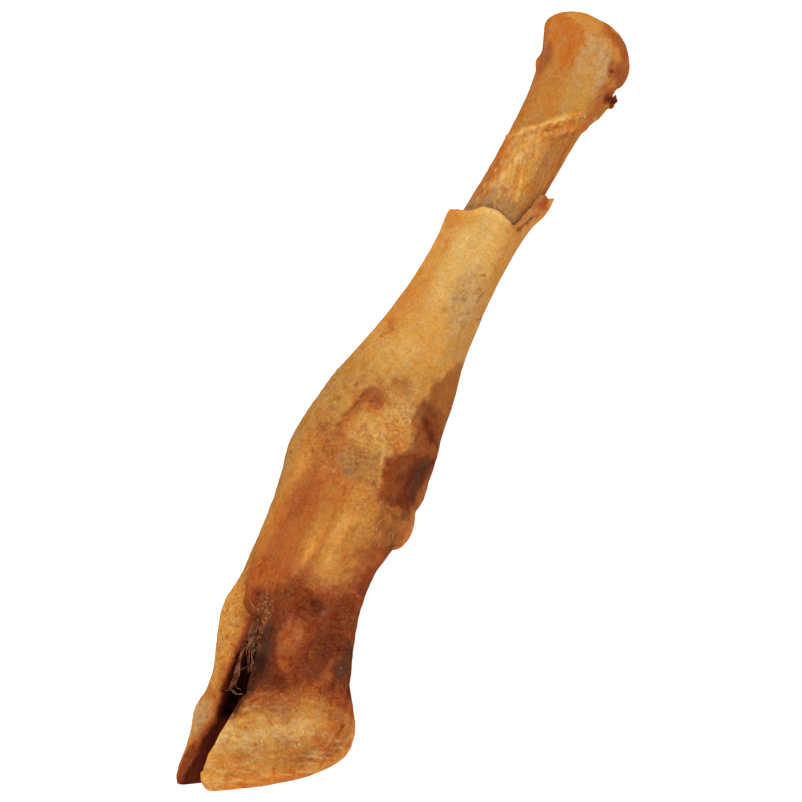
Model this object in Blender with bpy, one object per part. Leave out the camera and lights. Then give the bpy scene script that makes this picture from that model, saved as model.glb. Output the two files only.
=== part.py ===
"""Dried lamb leg dog chew: a bare cannon bone standing out of the dried skin of the foot.

The leg lies on its side. +Y runs from the toes to the end of the bone, +X towards the back of the leg, where
the dewclaws are, and +Z up. Metres; the origin is under the middle of the leg, on the surface it lies on.
"""

import math
from collections import namedtuple

import bmesh
import bpy
import numpy as np

MM = 0.001

# Driving sizes, in millimetres like every size in the tables below.
AXIS_Z = 17.0  # height of the cannon bone's axis over the surface
SKIN_WALL = 1.2  # dried skin where it stands off the bone
FIT_GAP = 0.3  # between the bone and the skin round it
POCKET_Y = (41.0, 49.0)  # where the hole round the bone widens to the skin's inside
CUFF_AXIS = (-1.3, AXIS_Z)  # x and z of the line that the skin's cut edge goes round
CUFF_REACH = (1.5, 24.0)
ABOVE_CUFF_Y = 80.0
RING_POINTS = 56
CAVITY_POINTS = 32
CUFF_POINTS = 90
HIDE_VOXEL = 0.8
BONE_VOXEL = 0.6
HIDE_TRIANGLES = 8600
BONE_TRIANGLES = 2600
WELD = 0.002  # points this close are one

# A cross-section runs from a point on the front of the leg to one on its back, both (x, y) as seen from above.
# half_depth is upwards and downwards of height, and taper above 0 makes the front narrower than the back.
Section = namedtuple("Section", "front back height half_depth taper")

# Skin round the cannon bone and the fetlock, from over the torn flap down to the web between the toes.
TRUNK = (
    Section((-12.0, 74.0), (11.7, 74.0), AXIS_Z, 7.8, 0.3),
    Section((-12.0, 66.0), (11.6, 66.0), AXIS_Z, 7.8, 0.3),
    Section((-12.1, 60.5), (11.5, 60.5), AXIS_Z, 7.8, 0.3),
    Section((-12.1, 56.0), (9.7, 56.0), AXIS_Z, 7.8, 0.3),
    Section((-11.8, 50.0), (8.5, 50.0), AXIS_Z, 7.8, 0.27),
    Section((-11.6, 45.0), (8.0, 45.0), AXIS_Z, 7.9, 0.22),
    Section((-12.2, 35.0), (7.6, 35.0), AXIS_Z, 8.4, 0.16),
    Section((-13.6, 26.0), (7.6, 26.0), AXIS_Z, 9.3, 0.1),
    Section((-15.7, 17.0), (7.8, 17.0), AXIS_Z, 10.8, 0.06),
    Section((-18.4, 8.0), (9.6, 8.0), AXIS_Z, 12.8, 0.02),
    Section((-21.5, -1.0), (11.0, -1.0), 16.0, 15.8, 0.0),
    Section((-23.1, -10.0), (12.7, -10.0), 16.1, 16.8, 0.0),
    Section((-23.7, -20.0), (13.7, -20.0), 16.1, 17.0, 0.0),
    Section((-21.9, -30.0), (12.9, -30.0), 15.9, 16.4, 0.0),
    Section((-21.1, -40.0), (11.4, -40.0), 16.5, 14.6, 0.0),
    Section((-20.2, -50.0), (10.0, -50.0), AXIS_Z, 13.9, 0.0),
    Section((-19.0, -57.0), (8.6, -57.0), AXIS_Z, 12.7, 0.0),
    Section((-16.0, -64.0), (5.0, -64.0), AXIS_Z, 9.6, 0.0),
)

# The toe on top, from the fetlock down to its sole.
NEAR_TOE = (
    Section((-13.0, -24.0), (11.2, -24.0), 23.4, 8.5, 0.0),
    Section((-14.0, -38.0), (10.8, -36.0), 24.4, 8.0, 0.0),
    Section((-13.6, -50.0), (10.7, -48.0), 24.8, 7.8, 0.0),
    Section((-12.2, -60.0), (12.5, -57.0), 25.4, 7.8, 0.0),
    Section((-9.8, -69.0), (15.1, -65.0), 26.0, 7.7, 0.0),
    Section((-7.6, -77.0), (17.1, -70.5), 26.4, 7.6, 0.03),
    Section((-7.0, -84.0), (20.3, -75.2), 26.8, 7.9, 0.08),
    Section((-7.8, -90.0), (22.9, -79.6), 27.2, 8.3, 0.14),
    Section((-8.8, -96.0), (23.8, -84.6), 27.2, 8.4, 0.2),
    Section((-9.1, -101.6), (22.6, -88.8), 27.2, 8.2, 0.26),
    Section((-8.9, -105.4), (20.0, -92.2), 27.2, 7.6, 0.32),
    Section((-7.4, -108.4), (16.4, -96.0), 27.2, 6.8, 0.34),
    Section((-4.8, -110.0), (7.6, -102.6), 27.2, 5.2, 0.36),
)

# The toe underneath, which the leg lies on and which shows past the front of the other.
FAR_TOE = (
    Section((-19.0, -24.0), (6.0, -24.0), 12.5, 8.5, 0.0),
    Section((-20.9, -36.0), (5.0, -34.0), 11.3, 8.0, 0.0),
    Section((-20.8, -46.0), (4.4, -42.0), 10.6, 8.0, 0.0),
    Section((-20.6, -57.0), (5.0, -50.0), 10.0, 8.0, 0.0),
    Section((-21.6, -65.0), (6.5, -56.5), 9.6, 8.0, 0.0),
    Section((-19.5, -73.5), (9.0, -63.0), 9.0, 7.8, 0.0),
    Section((-17.1, -80.5), (12.0, -69.5), 8.4, 7.6, 0.03),
    Section((-16.2, -86.5), (15.0, -75.0), 7.8, 7.8, 0.08),
    Section((-17.0, -92.5), (17.4, -80.5), 7.5, 8.1, 0.14),
    Section((-15.4, -98.5), (18.0, -86.0), 7.5, 8.2, 0.2),
    Section((-14.6, -104.5), (16.8, -91.0), 7.6, 8.0, 0.26),
    Section((-14.3, -109.3), (13.8, -95.0), 7.7, 7.2, 0.32),
    Section((-12.9, -112.7), (9.8, -99.2), 7.8, 5.8, 0.36),
)

# What is taken out between the toes, so that the cleft is open and deep where it shows at the front.
CLEFT = (
    Section((-11.2, -63.0), (-9.4, -62.6), 25.4, 0.6, 0.0),
    Section((-12.0, -66.5), (-7.6, -66.0), 21.4, 3.6, 0.0),
    Section((-12.8, -71.0), (-3.0, -69.5), 16.8, 5.0, 0.0),
    Section((-12.9, -78.0), (0.0, -76.0), 14.6, 5.4, 0.0),
    Section((-12.0, -87.0), (2.0, -84.5), 14.4, 5.6, 0.0),
    Section((-11.2, -96.0), (3.0, -93.0), 14.2, 5.6, 0.0),
    Section((-10.6, -105.0), (3.0, -102.0), 14.0, 5.4, 0.0),
    Section((-9.8, -116.0), (3.0, -114.0), 13.8, 5.2, 0.0),
)

# The cannon bone, from inside the fetlock to its domed end.
BONE = (
    Section((-10.0, -8.0), (1.0, -8.0), AXIS_Z, 4.6, 0.0),
    Section((-12.5, -4.0), (3.5, -4.0), AXIS_Z, 6.0, 0.0),
    Section((-11.2, 20.0), (4.4, 20.0), AXIS_Z, 6.2, 0.0),
    Section((-9.8, 40.0), (5.6, 40.0), AXIS_Z, 6.3, 0.0),
    Section((-8.3, 53.0), (7.0, 53.0), AXIS_Z, 6.4, 0.0),
    Section((-7.2, 61.0), (8.6, 61.0), AXIS_Z, 6.4, 0.0),
    Section((-6.5, 69.0), (9.5, 69.0), AXIS_Z, 6.4, 0.0),
    Section((-6.1, 79.0), (10.4, 79.0), AXIS_Z, 6.6, 0.0),
    Section((-6.0, 86.0), (11.5, 86.0), AXIS_Z, 7.0, 0.0),
    Section((-6.5, 92.0), (13.2, 92.0), AXIS_Z, 7.6, 0.0),
    Section((-7.2, 97.5), (13.9, 96.5), AXIS_Z, 8.3, 0.0),
    Section((-8.7, 102.0), (15.2, 100.0), AXIS_Z, 8.9, 0.0),
    Section((-9.7, 105.2), (15.0, 103.4), AXIS_Z, 8.9, 0.0),
    Section((-8.6, 107.6), (13.6, 106.0), AXIS_Z, 8.3, 0.0),
    Section((-6.6, 109.4), (11.7, 108.4), AXIS_Z, 7.0, 0.0),
    Section((-4.2, 110.7), (9.0, 110.3), AXIS_Z, 5.2, 0.0),
    Section((-1.2, 111.6), (5.8, 111.4), AXIS_Z, 2.6, 0.0),
)

# Height of the skin's cut edge round the bone, by angle: 0 is the back of the leg, 90 the upper side.
CUFF_EDGE = (
    (0, 65.4), (10, 65.6), (18, 64.4), (26, 65.0), (33, 64.4), (37, 59.4), (42, 53.7), (54, 54.8), (68, 55.7),
    (84, 56.1), (100, 55.8), (112, 55.3), (130, 53.4), (150, 52.3), (180, 51.3), (210, 52.6), (240, 54.4),
    (270, 55.3), (300, 55.0), (325, 56.5), (342, 60.0), (351, 64.0), (360, 65.4),
)  # fmt: skip

# Where the steps between the united pieces are smoothed away: an egg's centre and half sizes as (x, y, z).
Blend = namedtuple("Blend", "centre half_sizes rounds")

HIDE_BLENDS = (Blend((-15.5, -52.0, 21.5), (4.2, 10.0, 5.5), 90),)

# A dewclaw's stub hangs on each side of the back of the fetlock, below a pad: (x, y, z) and half sizes.
DEWCLAWS = (
    ((11.2, -28.2, 23.5), (3.6, 6.4, 4.0)),
    ((10.8, -27.4, 9.5), (3.6, 6.4, 4.0)),
)
HEEL_PADS = (
    ((9.4, -19.0, 20.5), (4.7, 8.0, 5.0)),
    ((9.2, -18.6, 12.5), (4.7, 8.0, 5.0)),
)

# A soft bump or hollow pressed into the surface. centre is (across, y), where across is x seen from above or
# below and z seen from the front or the back of the leg. turn is in degrees; rise below 0 is a hollow.
Relief = namedtuple("Relief", "side centre radii turn rise")

HIDE_RELIEF = (
    Relief("above", (7.6, -16.6), (4.2, 6.4), 0, -3.0),  # hollow before the dewclaw
    Relief("above", (-3.0, -8.0), (7.0, 8.0), 20, 1.3),  # knob of the fetlock
    Relief("above", (-8.2, -0.5), (2.8, 2.6), 0, -1.3),
    Relief("above", (-9.5, -17.0), (3.0, 6.0), -20, 0.5),
    Relief("above", (-15.0, -35.0), (2.2, 13.0), 3, -1.2),  # trough between the toes' tendons
    Relief("above", (-6.5, -41.0), (1.6, 7.0), -6, 0.7),
    Relief("above", (-1.5, -36.0), (1.8, 10.0), -4, 0.8),
    Relief("above", (5.0, -42.0), (2.4, 8.0), 0, -0.6),
    Relief("above", (-0.5, -55.0), (4.6, 2.6), 10, -1.8),  # hollow over the pastern joint
    Relief("above", (-1.5, -65.5), (4.2, 4.6), 0, 1.3),
    Relief("above", (-6.0, -72.0), (2.2, 6.0), 20, -0.7),
    Relief("above", (7.0, -63.0), (2.6, 6.0), 0, -0.7),
    Relief("above", (11.5, -66.0), (1.8, 5.0), 15, 0.5),
    Relief("above", (7.0, -84.5), (9.0, 4.6), 25, 0.7),  # swelling at the top of the hoof
    Relief("above", (1.0, -97.0), (8.0, 4.0), 30, -0.4),
    Relief("above", (1.0, 31.0), (3.0, 12.0), -5, -0.4),
    Relief("below", (7.5, -17.0), (4.2, 6.6), 0, -1.6),
    Relief("below", (-6.0, -43.0), (2.4, 9.0), 0, -0.8),
    Relief("below", (-8.0, -60.0), (5.0, 3.5), -10, -1.0),
    Relief("below", (-2.0, 8.0), (5.0, 8.0), 0, -0.7),
    Relief("back", (17.2, -46.0), (2.4, 12.0), 0, -1.6),  # furrow between the two toes
    Relief("back", (17.2, -26.0), (2.6, 7.0), 0, -1.4),
    Relief("back", (17.0, 14.0), (4.0, 14.0), 0, 0.6),
    Relief("front", (17.4, -44.0), (2.0, 10.0), 0, -1.2),
    Relief("front", (18.0, -6.0), (6.0, 8.0), 0, -0.6),
)

BONE_RELIEF = (
    Relief("above", (-1.0, 101.0), (1.6, 7.0), -4, -0.45),
    Relief("above", (4.5, 98.0), (3.0, 9.0), -6, 0.4),
    Relief("below", (1.5, 84.0), (2.2, 22.0), 0, -0.9),  # groove down the bone's hollow side
    Relief("back", (17.0, 97.0), (3.0, 5.0), 0, 0.5),
)

# A fold or an edge along a line of (across, y) points. width is its half width.
Fold = namedtuple("Fold", "side points width rise")

HIDE_FOLDS = (
    Fold("above", ((3.2, 4.0), (5.0, 0.0), (8.0, -3.0), (10.5, -8.0)), 1.0, -0.8),
    Fold("above", ((-11.0, 1.0), (-12.6, -5.0), (-14.2, -10.5), (-17.5, -14.5)), 1.0, -0.45),
    Fold("above", ((1.6, -11.5), (3.0, -18.0), (4.4, -24.0)), 1.0, 0.5),
    Fold("above", ((7.0, -24.5), (9.5, -26.0), (12.5, -25.0)), 0.8, -0.8),
    Fold("above", ((8.5, -29.5), (9.3, -33.5), (11.5, -35.0)), 0.9, -0.7),
    Fold("above", ((-6.5, -86.0), (0.0, -80.6), (7.0, -77.2), (14.5, -77.0), (19.5, -81.5)), 1.6, -0.4),
    Fold("above", ((-6.0, -104.5), (4.0, -100.5), (14.0, -94.0), (20.5, -87.0)), 0.9, -0.45),
    Fold("below", ((3.2, 4.0), (5.0, 0.0), (8.0, -3.0), (10.5, -8.0)), 0.9, -0.8),
    Fold("below", ((-14.5, -88.0), (-6.0, -82.0), (4.0, -77.0), (11.0, -76.5)), 1.0, -0.5),
    Fold("front", ((24.5, -84.0), (29.0, -82.0)), 1.0, -0.5),
)
# On the bone they are the edges and the fold of its membrane.
BONE_FOLDS = (
    Fold("above", ((-5.6, 75.0), (-3.0, 77.8), (0.0, 80.5), (3.2, 83.4), (6.4, 86.6)), 0.7, 0.8),
    Fold("above", ((2.0, 78.8), (5.2, 80.8), (8.6, 84.2)), 0.7, 0.6),
    Fold("above", ((2.0, 78.8), (-1.0, 71.0), (-3.5, 62.0)), 0.8, 0.4),
    Fold("above", ((6.6, 109.6), (9.2, 105.0), (10.6, 100.0)), 0.8, -0.4),
)

# Dried membrane left on the bone: outlines as (x, y), then the lowest and highest z.
SHREDS = (
    (
        ((9.5, 83.0), (11.9, 84.2), (11.8, 85.6), (13.0, 87.8), (13.6, 88.2), (14.0, 91.6), (11.5, 92.0)),
        15.6, 17.4,
    ),
    (
        ((12.0, 92.0), (14.2, 92.0), (15.6, 92.7), (15.9, 95.2), (14.8, 96.0), (14.0, 95.2), (12.5, 95.6)),
        15.8, 18.2,
    ),
    (((-5.5, 92.8), (-7.0, 93.4), (-7.9, 95.0), (-7.4, 97.0), (-6.0, 98.2)), 16.0, 17.6),
)

SIDES = {
    "above": (0, 2, 1.0),
    "below": (0, 2, -1.0),
    "back": (2, 0, 1.0),
    "front": (2, 0, -1.0),
}


def clear_scene():
    for obj in list(bpy.data.objects):
        bpy.data.objects.remove(obj)


def row_of(section):
    """A section as numbers that can be blended with another's."""
    return [*section.front, *section.back, section.height, section.half_depth, section.taper]


def smooth_rows(sections, count):
    """count rows read from one smooth curve through the sections."""
    rows = np.array([row_of(section) for section in sections])
    middles = (rows[:, 0:2] + rows[:, 2:4]) / 2
    steps = np.linalg.norm(np.diff(middles, axis=0), axis=1)
    along = np.concatenate([[0.0], np.cumsum(steps)])
    slopes = np.gradient(rows, along, axis=0)
    at = np.linspace(0.0, along[-1], count)
    span = np.clip(np.searchsorted(along, at, side="right") - 1, 0, len(steps) - 1)
    width = steps[span][:, None]
    share = ((at - along[span]) / steps[span])[:, None]
    start = (1 + 2 * share) * (1 - share) ** 2 * rows[span]
    end = share**2 * (3 - 2 * share) * rows[span + 1]
    leaving = share * (1 - share) ** 2 * width * slopes[span]
    arriving = share**2 * (share - 1) * width * slopes[span + 1]
    return start + end + leaving + arriving


def row_at(rows, y):
    """The row of an upright loft at one height y."""
    order = np.argsort(rows[:, 1])
    return np.array([np.interp(y, rows[order, 1], rows[order, i]) for i in range(rows.shape[1])])


def ring_point(row, angle):
    """A point of a section's outline, angle 0 at the back of the leg and 90 degrees on its upper side."""
    front_x, front_y, back_x, back_y, height, half_depth, taper = row
    share = (1 + math.cos(angle)) / 2
    x = front_x + (back_x - front_x) * share
    y = front_y + (back_y - front_y) * share
    z = height + half_depth * math.sin(angle) * (1 + taper * math.cos(angle))
    return (x * MM, y * MM, z * MM)


def ring_angles(count):
    return [2 * math.pi * i / count for i in range(count)]


def ring(row, count=RING_POINTS):
    return [ring_point(row, angle) for angle in ring_angles(count)]


def mesh_object(name, bm):
    bmesh.ops.recalc_face_normals(bm, faces=bm.faces)
    mesh = bpy.data.meshes.new(name)
    bm.to_mesh(mesh)
    bm.free()
    obj = bpy.data.objects.new(name, mesh)
    bpy.context.scene.collection.objects.link(obj)
    return obj


def loft(name, rings, joined=False):
    """A closed solid through the rings, with flat ends, or with its last ring joined to its first."""
    bm = bmesh.new()
    loops = [[bm.verts.new(point) for point in points] for points in rings]
    if not joined:
        bm.faces.new(loops[0])
        bm.faces.new(loops[-1])
    for lower, upper in zip(loops, loops[1:] + loops[:1] if joined else loops[1:]):
        for i in range(len(lower)):
            j = (i + 1) % len(lower)
            bm.faces.new((lower[i], lower[j], upper[j], upper[i]))
    return mesh_object(name, bm)


def cuff_edge(angle):
    """Height of the skin's cut edge at an angle round the bone."""
    degrees, heights = zip(*CUFF_EDGE)
    return float(np.interp(math.degrees(angle) % 360, degrees, heights))


def above_cuff():
    """Everything above the skin's cut edge."""
    rings = []
    inner, outer = CUFF_REACH
    for reach, top in ((inner, False), (outer, False), (outer, True), (inner, True)):
        points = []
        for angle in ring_angles(CUFF_POINTS):
            x = CUFF_AXIS[0] + reach * math.cos(angle)
            z = CUFF_AXIS[1] + reach * math.sin(angle)
            y = ABOVE_CUFF_Y if top else cuff_edge(angle)
            points.append((x * MM, y * MM, z * MM))
        rings.append(points)
    return loft("above_cuff", rings, joined=True)


def limb(name, sections, count):
    return loft(name, [ring(row) for row in smooth_rows(sections, count)])


def lump(name, centre, half_sizes):
    """A smooth egg shape."""
    bm = bmesh.new()
    bmesh.ops.create_uvsphere(bm, u_segments=20, v_segments=14, radius=1.0)
    for vert in bm.verts:
        vert.co = [(c + h * v) * MM for c, h, v in zip(centre, half_sizes, vert.co)]
    return mesh_object(name, bm)


def shred(name, outline, low, high):
    """A thin flake of dried membrane."""
    bm = bmesh.new()
    face = bm.faces.new([bm.verts.new((x * MM, y * MM, low * MM)) for x, y in outline])
    raised = bmesh.ops.extrude_face_region(bm, geom=[face])["geom"]
    tops = [item for item in raised if isinstance(item, bmesh.types.BMVert)]
    bmesh.ops.translate(bm, verts=tops, vec=(0, 0, (high - low) * MM))
    return mesh_object(name, bm)


def cavity():
    """What the skin is hollow by: the bone's own hole, and the pocket under the cuff."""
    bone, skin = smooth_rows(BONE, 120), smooth_rows(TRUNK, 160)
    grow = np.array([-FIT_GAP, 0.0, FIT_GAP, 0.0, 0.0, FIT_GAP, 0.0])
    inset = np.array([SKIN_WALL, 0.0, -SKIN_WALL, 0.0, 0.0, -SKIN_WALL, 0.0])
    rows = []
    for y in np.linspace(BONE[0].front[1] - FIT_GAP, TRUNK[0].front[1] + 1.0, 30):
        share = np.clip((y - POCKET_Y[0]) / (POCKET_Y[1] - POCKET_Y[0]), 0.0, 1.0)
        share = share * share * (3 - 2 * share)
        row = (1 - share) * (row_at(bone, y) + grow) + share * (row_at(skin, y) + inset)
        row[[1, 3]] = y
        rows.append(row)
    return loft("cavity", [ring(row, CAVITY_POINTS) for row in rows])


def apply_modifiers(obj):
    """Replaces the object's mesh with the one its modifiers make."""
    graph = bpy.context.evaluated_depsgraph_get()
    graph.update()
    made = bpy.data.meshes.new_from_object(obj.evaluated_get(graph))
    obj.modifiers.clear()
    obj.data = made


def unite(name, base, others):
    """One Boolean union of the others with the base."""
    group = bpy.data.collections.new(name + "_pieces")
    for other in others:
        group.objects.link(other)
    union = base.modifiers.new("union", "BOOLEAN")
    union.operation = "UNION"
    union.solver = "EXACT"
    union.operand_type = "COLLECTION"
    union.collection = group
    apply_modifiers(base)
    for other in others:
        bpy.data.objects.remove(other)
    bpy.data.collections.remove(group)
    base.name = name
    return base


def soften(obj, voxel, rounds):
    """Evens the mesh and rounds the joins between the united pieces."""
    remesh = obj.modifiers.new("even", "REMESH")
    remesh.mode = "VOXEL"
    remesh.voxel_size = voxel * MM
    smooth = obj.modifiers.new("soften", "SMOOTH")
    smooth.factor = 0.5
    smooth.iterations = rounds
    apply_modifiers(obj)


def mesh_arrays(mesh):
    points = np.empty(len(mesh.vertices) * 3, np.float32)
    normals = np.empty(len(mesh.vertices) * 3, np.float32)
    mesh.vertices.foreach_get("co", points)
    mesh.vertex_normals.foreach_get("vector", normals)
    return points.reshape(-1, 3).astype(float), normals.reshape(-1, 3).astype(float)


def store_points(mesh, points):
    mesh.vertices.foreach_set("co", points.astype(np.float32).ravel())
    mesh.update()


def seen_from(side, points, normals):
    """Where each point lies across and along a side of the leg, and how much it faces that way."""
    across_axis, facing_axis, sign = SIDES[side]
    facing = np.clip(1.4 * sign * normals[:, facing_axis], 0.0, 1.0)
    return points[:, across_axis] / MM, points[:, 1] / MM, facing


def distance_to_line(across, along, line):
    """How far each point is from a bent line."""
    best = np.full(len(across), 1e9)
    for (ax, ay), (bx, by) in zip(line, line[1:]):
        dx, dy = bx - ax, by - ay
        share = np.clip(((across - ax) * dx + (along - ay) * dy) / (dx * dx + dy * dy), 0.0, 1.0)
        best = np.minimum(best, np.hypot(across - ax - share * dx, along - ay - share * dy))
    return best


def press(obj, reliefs, folds):
    """Raises the bumps and presses the hollows and folds into the surface."""
    points, normals = mesh_arrays(obj.data)
    move = np.zeros(len(points))
    for relief in reliefs:
        across, along, facing = seen_from(relief.side, points, normals)
        across, along = across - relief.centre[0], along - relief.centre[1]
        turn = math.radians(relief.turn)
        u = (across * math.cos(turn) + along * math.sin(turn)) / relief.radii[0]
        v = (along * math.cos(turn) - across * math.sin(turn)) / relief.radii[1]
        move += relief.rise * facing * np.exp(-(u * u + v * v))
    for fold in folds:
        across, along, facing = seen_from(fold.side, points, normals)
        off = distance_to_line(across, along, fold.points) / fold.width
        move += fold.rise * facing * np.exp(-off * off)
    store_points(obj.data, points + normals * move[:, None] * MM)


def blend(obj, blends):
    """Moves the points within each egg towards the middle of their neighbours."""
    mesh = obj.data
    edges = np.empty(len(mesh.edges) * 2, np.int32)
    mesh.edges.foreach_get("vertices", edges)
    start, end = edges.reshape(-1, 2).T
    points, _ = mesh_arrays(mesh)
    count = len(points)
    neighbours = (np.bincount(start, minlength=count) + np.bincount(end, minlength=count))[:, None]
    for item in blends:
        off = (points / MM - item.centre) / item.half_sizes
        weight = np.exp(-(off**2).sum(axis=1))[:, None]
        for _ in range(item.rounds):
            total = np.stack([
                np.bincount(start, column[end], count) + np.bincount(end, column[start], count)
                for column in points.T
            ])
            points += weight * (total.T / neighbours - points)
    store_points(mesh, points)


def lay_flat(obj):
    """Flattens the lowest spots, so that the leg lies steady."""
    points, _ = mesh_arrays(obj.data)
    points[:, 2] = np.maximum(points[:, 2], 0.0)
    store_points(obj.data, points)


def thin_out(obj, triangles):
    """Fewer faces, all of them triangles."""
    obj.data.calc_loop_triangles()
    decimate = obj.modifiers.new("thin", "DECIMATE")
    decimate.ratio = min(1.0, triangles / len(obj.data.loop_triangles))
    decimate.use_collapse_triangulate = True
    apply_modifiers(obj)


def cut(obj, cutter):
    """Takes the cutter's shape out of the object and removes the cutter."""
    difference = obj.modifiers.new("cut", "BOOLEAN")
    difference.operation = "DIFFERENCE"
    difference.solver = "EXACT"
    difference.object = cutter
    apply_modifiers(obj)
    bpy.data.objects.remove(cutter)


def island_of(face):
    """Every face that is joined to this one by edges."""
    seen = {face}
    waiting = [face]
    while waiting:
        for edge in waiting.pop().edges:
            for other in edge.link_faces:
                if other not in seen:
                    seen.add(other)
                    waiting.append(other)
    return seen


def drop_crumbs(obj):
    """Welds double points and drops the slivers that the cuts leave loose."""
    bm = bmesh.new()
    bm.from_mesh(obj.data)
    bmesh.ops.remove_doubles(bm, verts=bm.verts, dist=WELD * MM)
    left = set(bm.faces)
    islands = []
    while left:
        island = island_of(next(iter(left)))
        left -= island
        islands.append(island)
    main = max(islands, key=len)
    bmesh.ops.delete(bm, geom=[face for face in bm.faces if face not in main], context="FACES")
    bm.to_mesh(obj.data)
    bm.free()


def finish(obj, colour, roughness):
    """A plain material, and smooth shading except at sharp edges."""
    material = bpy.data.materials.new(obj.name)
    material.use_nodes = True
    surface = material.node_tree.nodes["Principled BSDF"]
    surface.inputs["Base Color"].default_value = (*colour, 1.0)
    surface.inputs["Roughness"].default_value = roughness
    surface.inputs["Metallic"].default_value = 0.0
    obj.data.materials.clear()
    obj.data.materials.append(material)
    obj.data.shade_smooth()
    obj.data.set_sharp_from_angle(angle=math.radians(50))


def settle(objects):
    """Moves the whole leg so that the origin is under its middle, on the surface it lies on."""
    every = np.concatenate([mesh_arrays(obj.data)[0] for obj in objects])
    low, high = every.min(axis=0), every.max(axis=0)
    shift = np.array([(low[0] + high[0]) / 2, (low[1] + high[1]) / 2, low[2]])
    for obj in objects:
        store_points(obj.data, mesh_arrays(obj.data)[0] - shift)


def hide():
    """Skin, fetlock and both toes as one piece, hollow round the bone."""
    pieces = [limb("near_toe", NEAR_TOE, 60), limb("far_toe", FAR_TOE, 60)]
    for i, (centre, half_sizes) in enumerate(DEWCLAWS + HEEL_PADS):
        pieces.append(lump(f"lump_{i}", centre, half_sizes))
    skin = unite("hide", limb("trunk", TRUNK, 90), pieces)
    cut(skin, limb("cleft", CLEFT, 40))
    soften(skin, HIDE_VOXEL, 6)
    blend(skin, HIDE_BLENDS)
    press(skin, HIDE_RELIEF, HIDE_FOLDS)
    thin_out(skin, HIDE_TRIANGLES)
    lay_flat(skin)
    cut(skin, cavity())
    cut(skin, above_cuff())
    drop_crumbs(skin)
    finish(skin, (0.55, 0.28, 0.09), 0.55)
    return skin


def bone():
    """The cannon bone with the scraps of membrane that are left on it."""
    flakes = [shred(f"shred_{i}", *made) for i, made in enumerate(SHREDS)]
    made = unite("bone", limb("bone_shaft", BONE, 120), flakes)
    soften(made, BONE_VOXEL, 3)
    press(made, BONE_RELIEF, BONE_FOLDS)
    thin_out(made, BONE_TRIANGLES)
    finish(made, (0.58, 0.33, 0.13), 0.45)
    return made


def build():
    clear_scene()
    settle([hide(), bone()])


build()
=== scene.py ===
"""Dried lamb leg dog chew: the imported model's skin and bone with their surface, colours, fibres and hairs."""

import math
import random
from collections import namedtuple

import bmesh
import bpy
import numpy as np
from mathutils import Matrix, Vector
from mathutils.bvhtree import BVHTree


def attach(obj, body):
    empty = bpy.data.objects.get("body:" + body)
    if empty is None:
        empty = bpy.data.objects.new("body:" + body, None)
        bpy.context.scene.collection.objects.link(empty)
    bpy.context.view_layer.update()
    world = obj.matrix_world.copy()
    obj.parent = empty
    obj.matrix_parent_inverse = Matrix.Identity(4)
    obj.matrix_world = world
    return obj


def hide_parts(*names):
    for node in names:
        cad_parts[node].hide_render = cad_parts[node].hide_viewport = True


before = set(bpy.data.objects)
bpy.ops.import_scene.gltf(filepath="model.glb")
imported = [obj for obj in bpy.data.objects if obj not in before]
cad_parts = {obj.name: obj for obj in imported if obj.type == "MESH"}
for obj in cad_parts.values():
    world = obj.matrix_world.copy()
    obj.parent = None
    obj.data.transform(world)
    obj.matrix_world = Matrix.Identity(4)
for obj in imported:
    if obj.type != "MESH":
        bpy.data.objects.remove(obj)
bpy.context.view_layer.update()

MM = 0.001

# Sizes in millimetres, in the part's own frame: +Y towards the bare end of the bone, +X to the back, +Z up.
SKIN_VOXEL = 0.55
SKIN_ROUNDS = 6  # of smoothing
BONE_VOXEL = 0.4
BONE_ROUNDS = 4
PUFF = 0.1  # makes up for what the smoothing takes off the skin
AXIS_Z = 17.0
SLEEVE_Y = (-9.0, 66.0)
SLEEVE_LINE = ((-8, -4.5), (20, -3.4), (40, -2.1), (53, -1.0), (66, 1.2))  # y, and the sleeve's middle there
TOES_Y = -57.0
TOES_SPLIT_Z = 17.0
TOE_SHIFT_X = 5.5  # the toe underneath lies this much further to the front
TOE_EDGE_Y = -88.0  # the upper toe's edge is trimmed from here down
CLEFT_TOP_Z = 22.0  # the cleft's roof lies below this
FLAP_X = 6.0  # the flap beside the cuff starts here
TRIM = 0.9  # share of what stands out past an edge line that is taken back
RING_SLANT = 30.0  # degrees that the rings in the horn rise towards the heel
GRAIN_SLANT = 22.0  # the same for its fine lines

# How bright a surface comes out under the lights: from all round, added by the key light where it faces that,
# and on the side that the leg lies on.
KEY_PLACE = (-0.36, 0.24, 1.15)
LIGHT_ROUND = 0.82
LIGHT_KEY = 0.85
LIGHT_BELOW = 1.4

# Painted outlines are laid on wavering coordinates, so that their edges come out as uneven as grown ones: how
# far they waver to the side and along the leg, and over what distance.
WAVERS = ((0.45, 0.60, 3.5), (0.40, 0.50, 1.4), (0.25, 0.25, 0.7))
PAINT_REACH = 4.0  # how far from its outline a colour can still show
UNDER_STRENGTH = 0.85  # of the paint on the side that the leg lies on
SIDE_SHADE = 0.13  # how much darker the steep sides are

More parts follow.
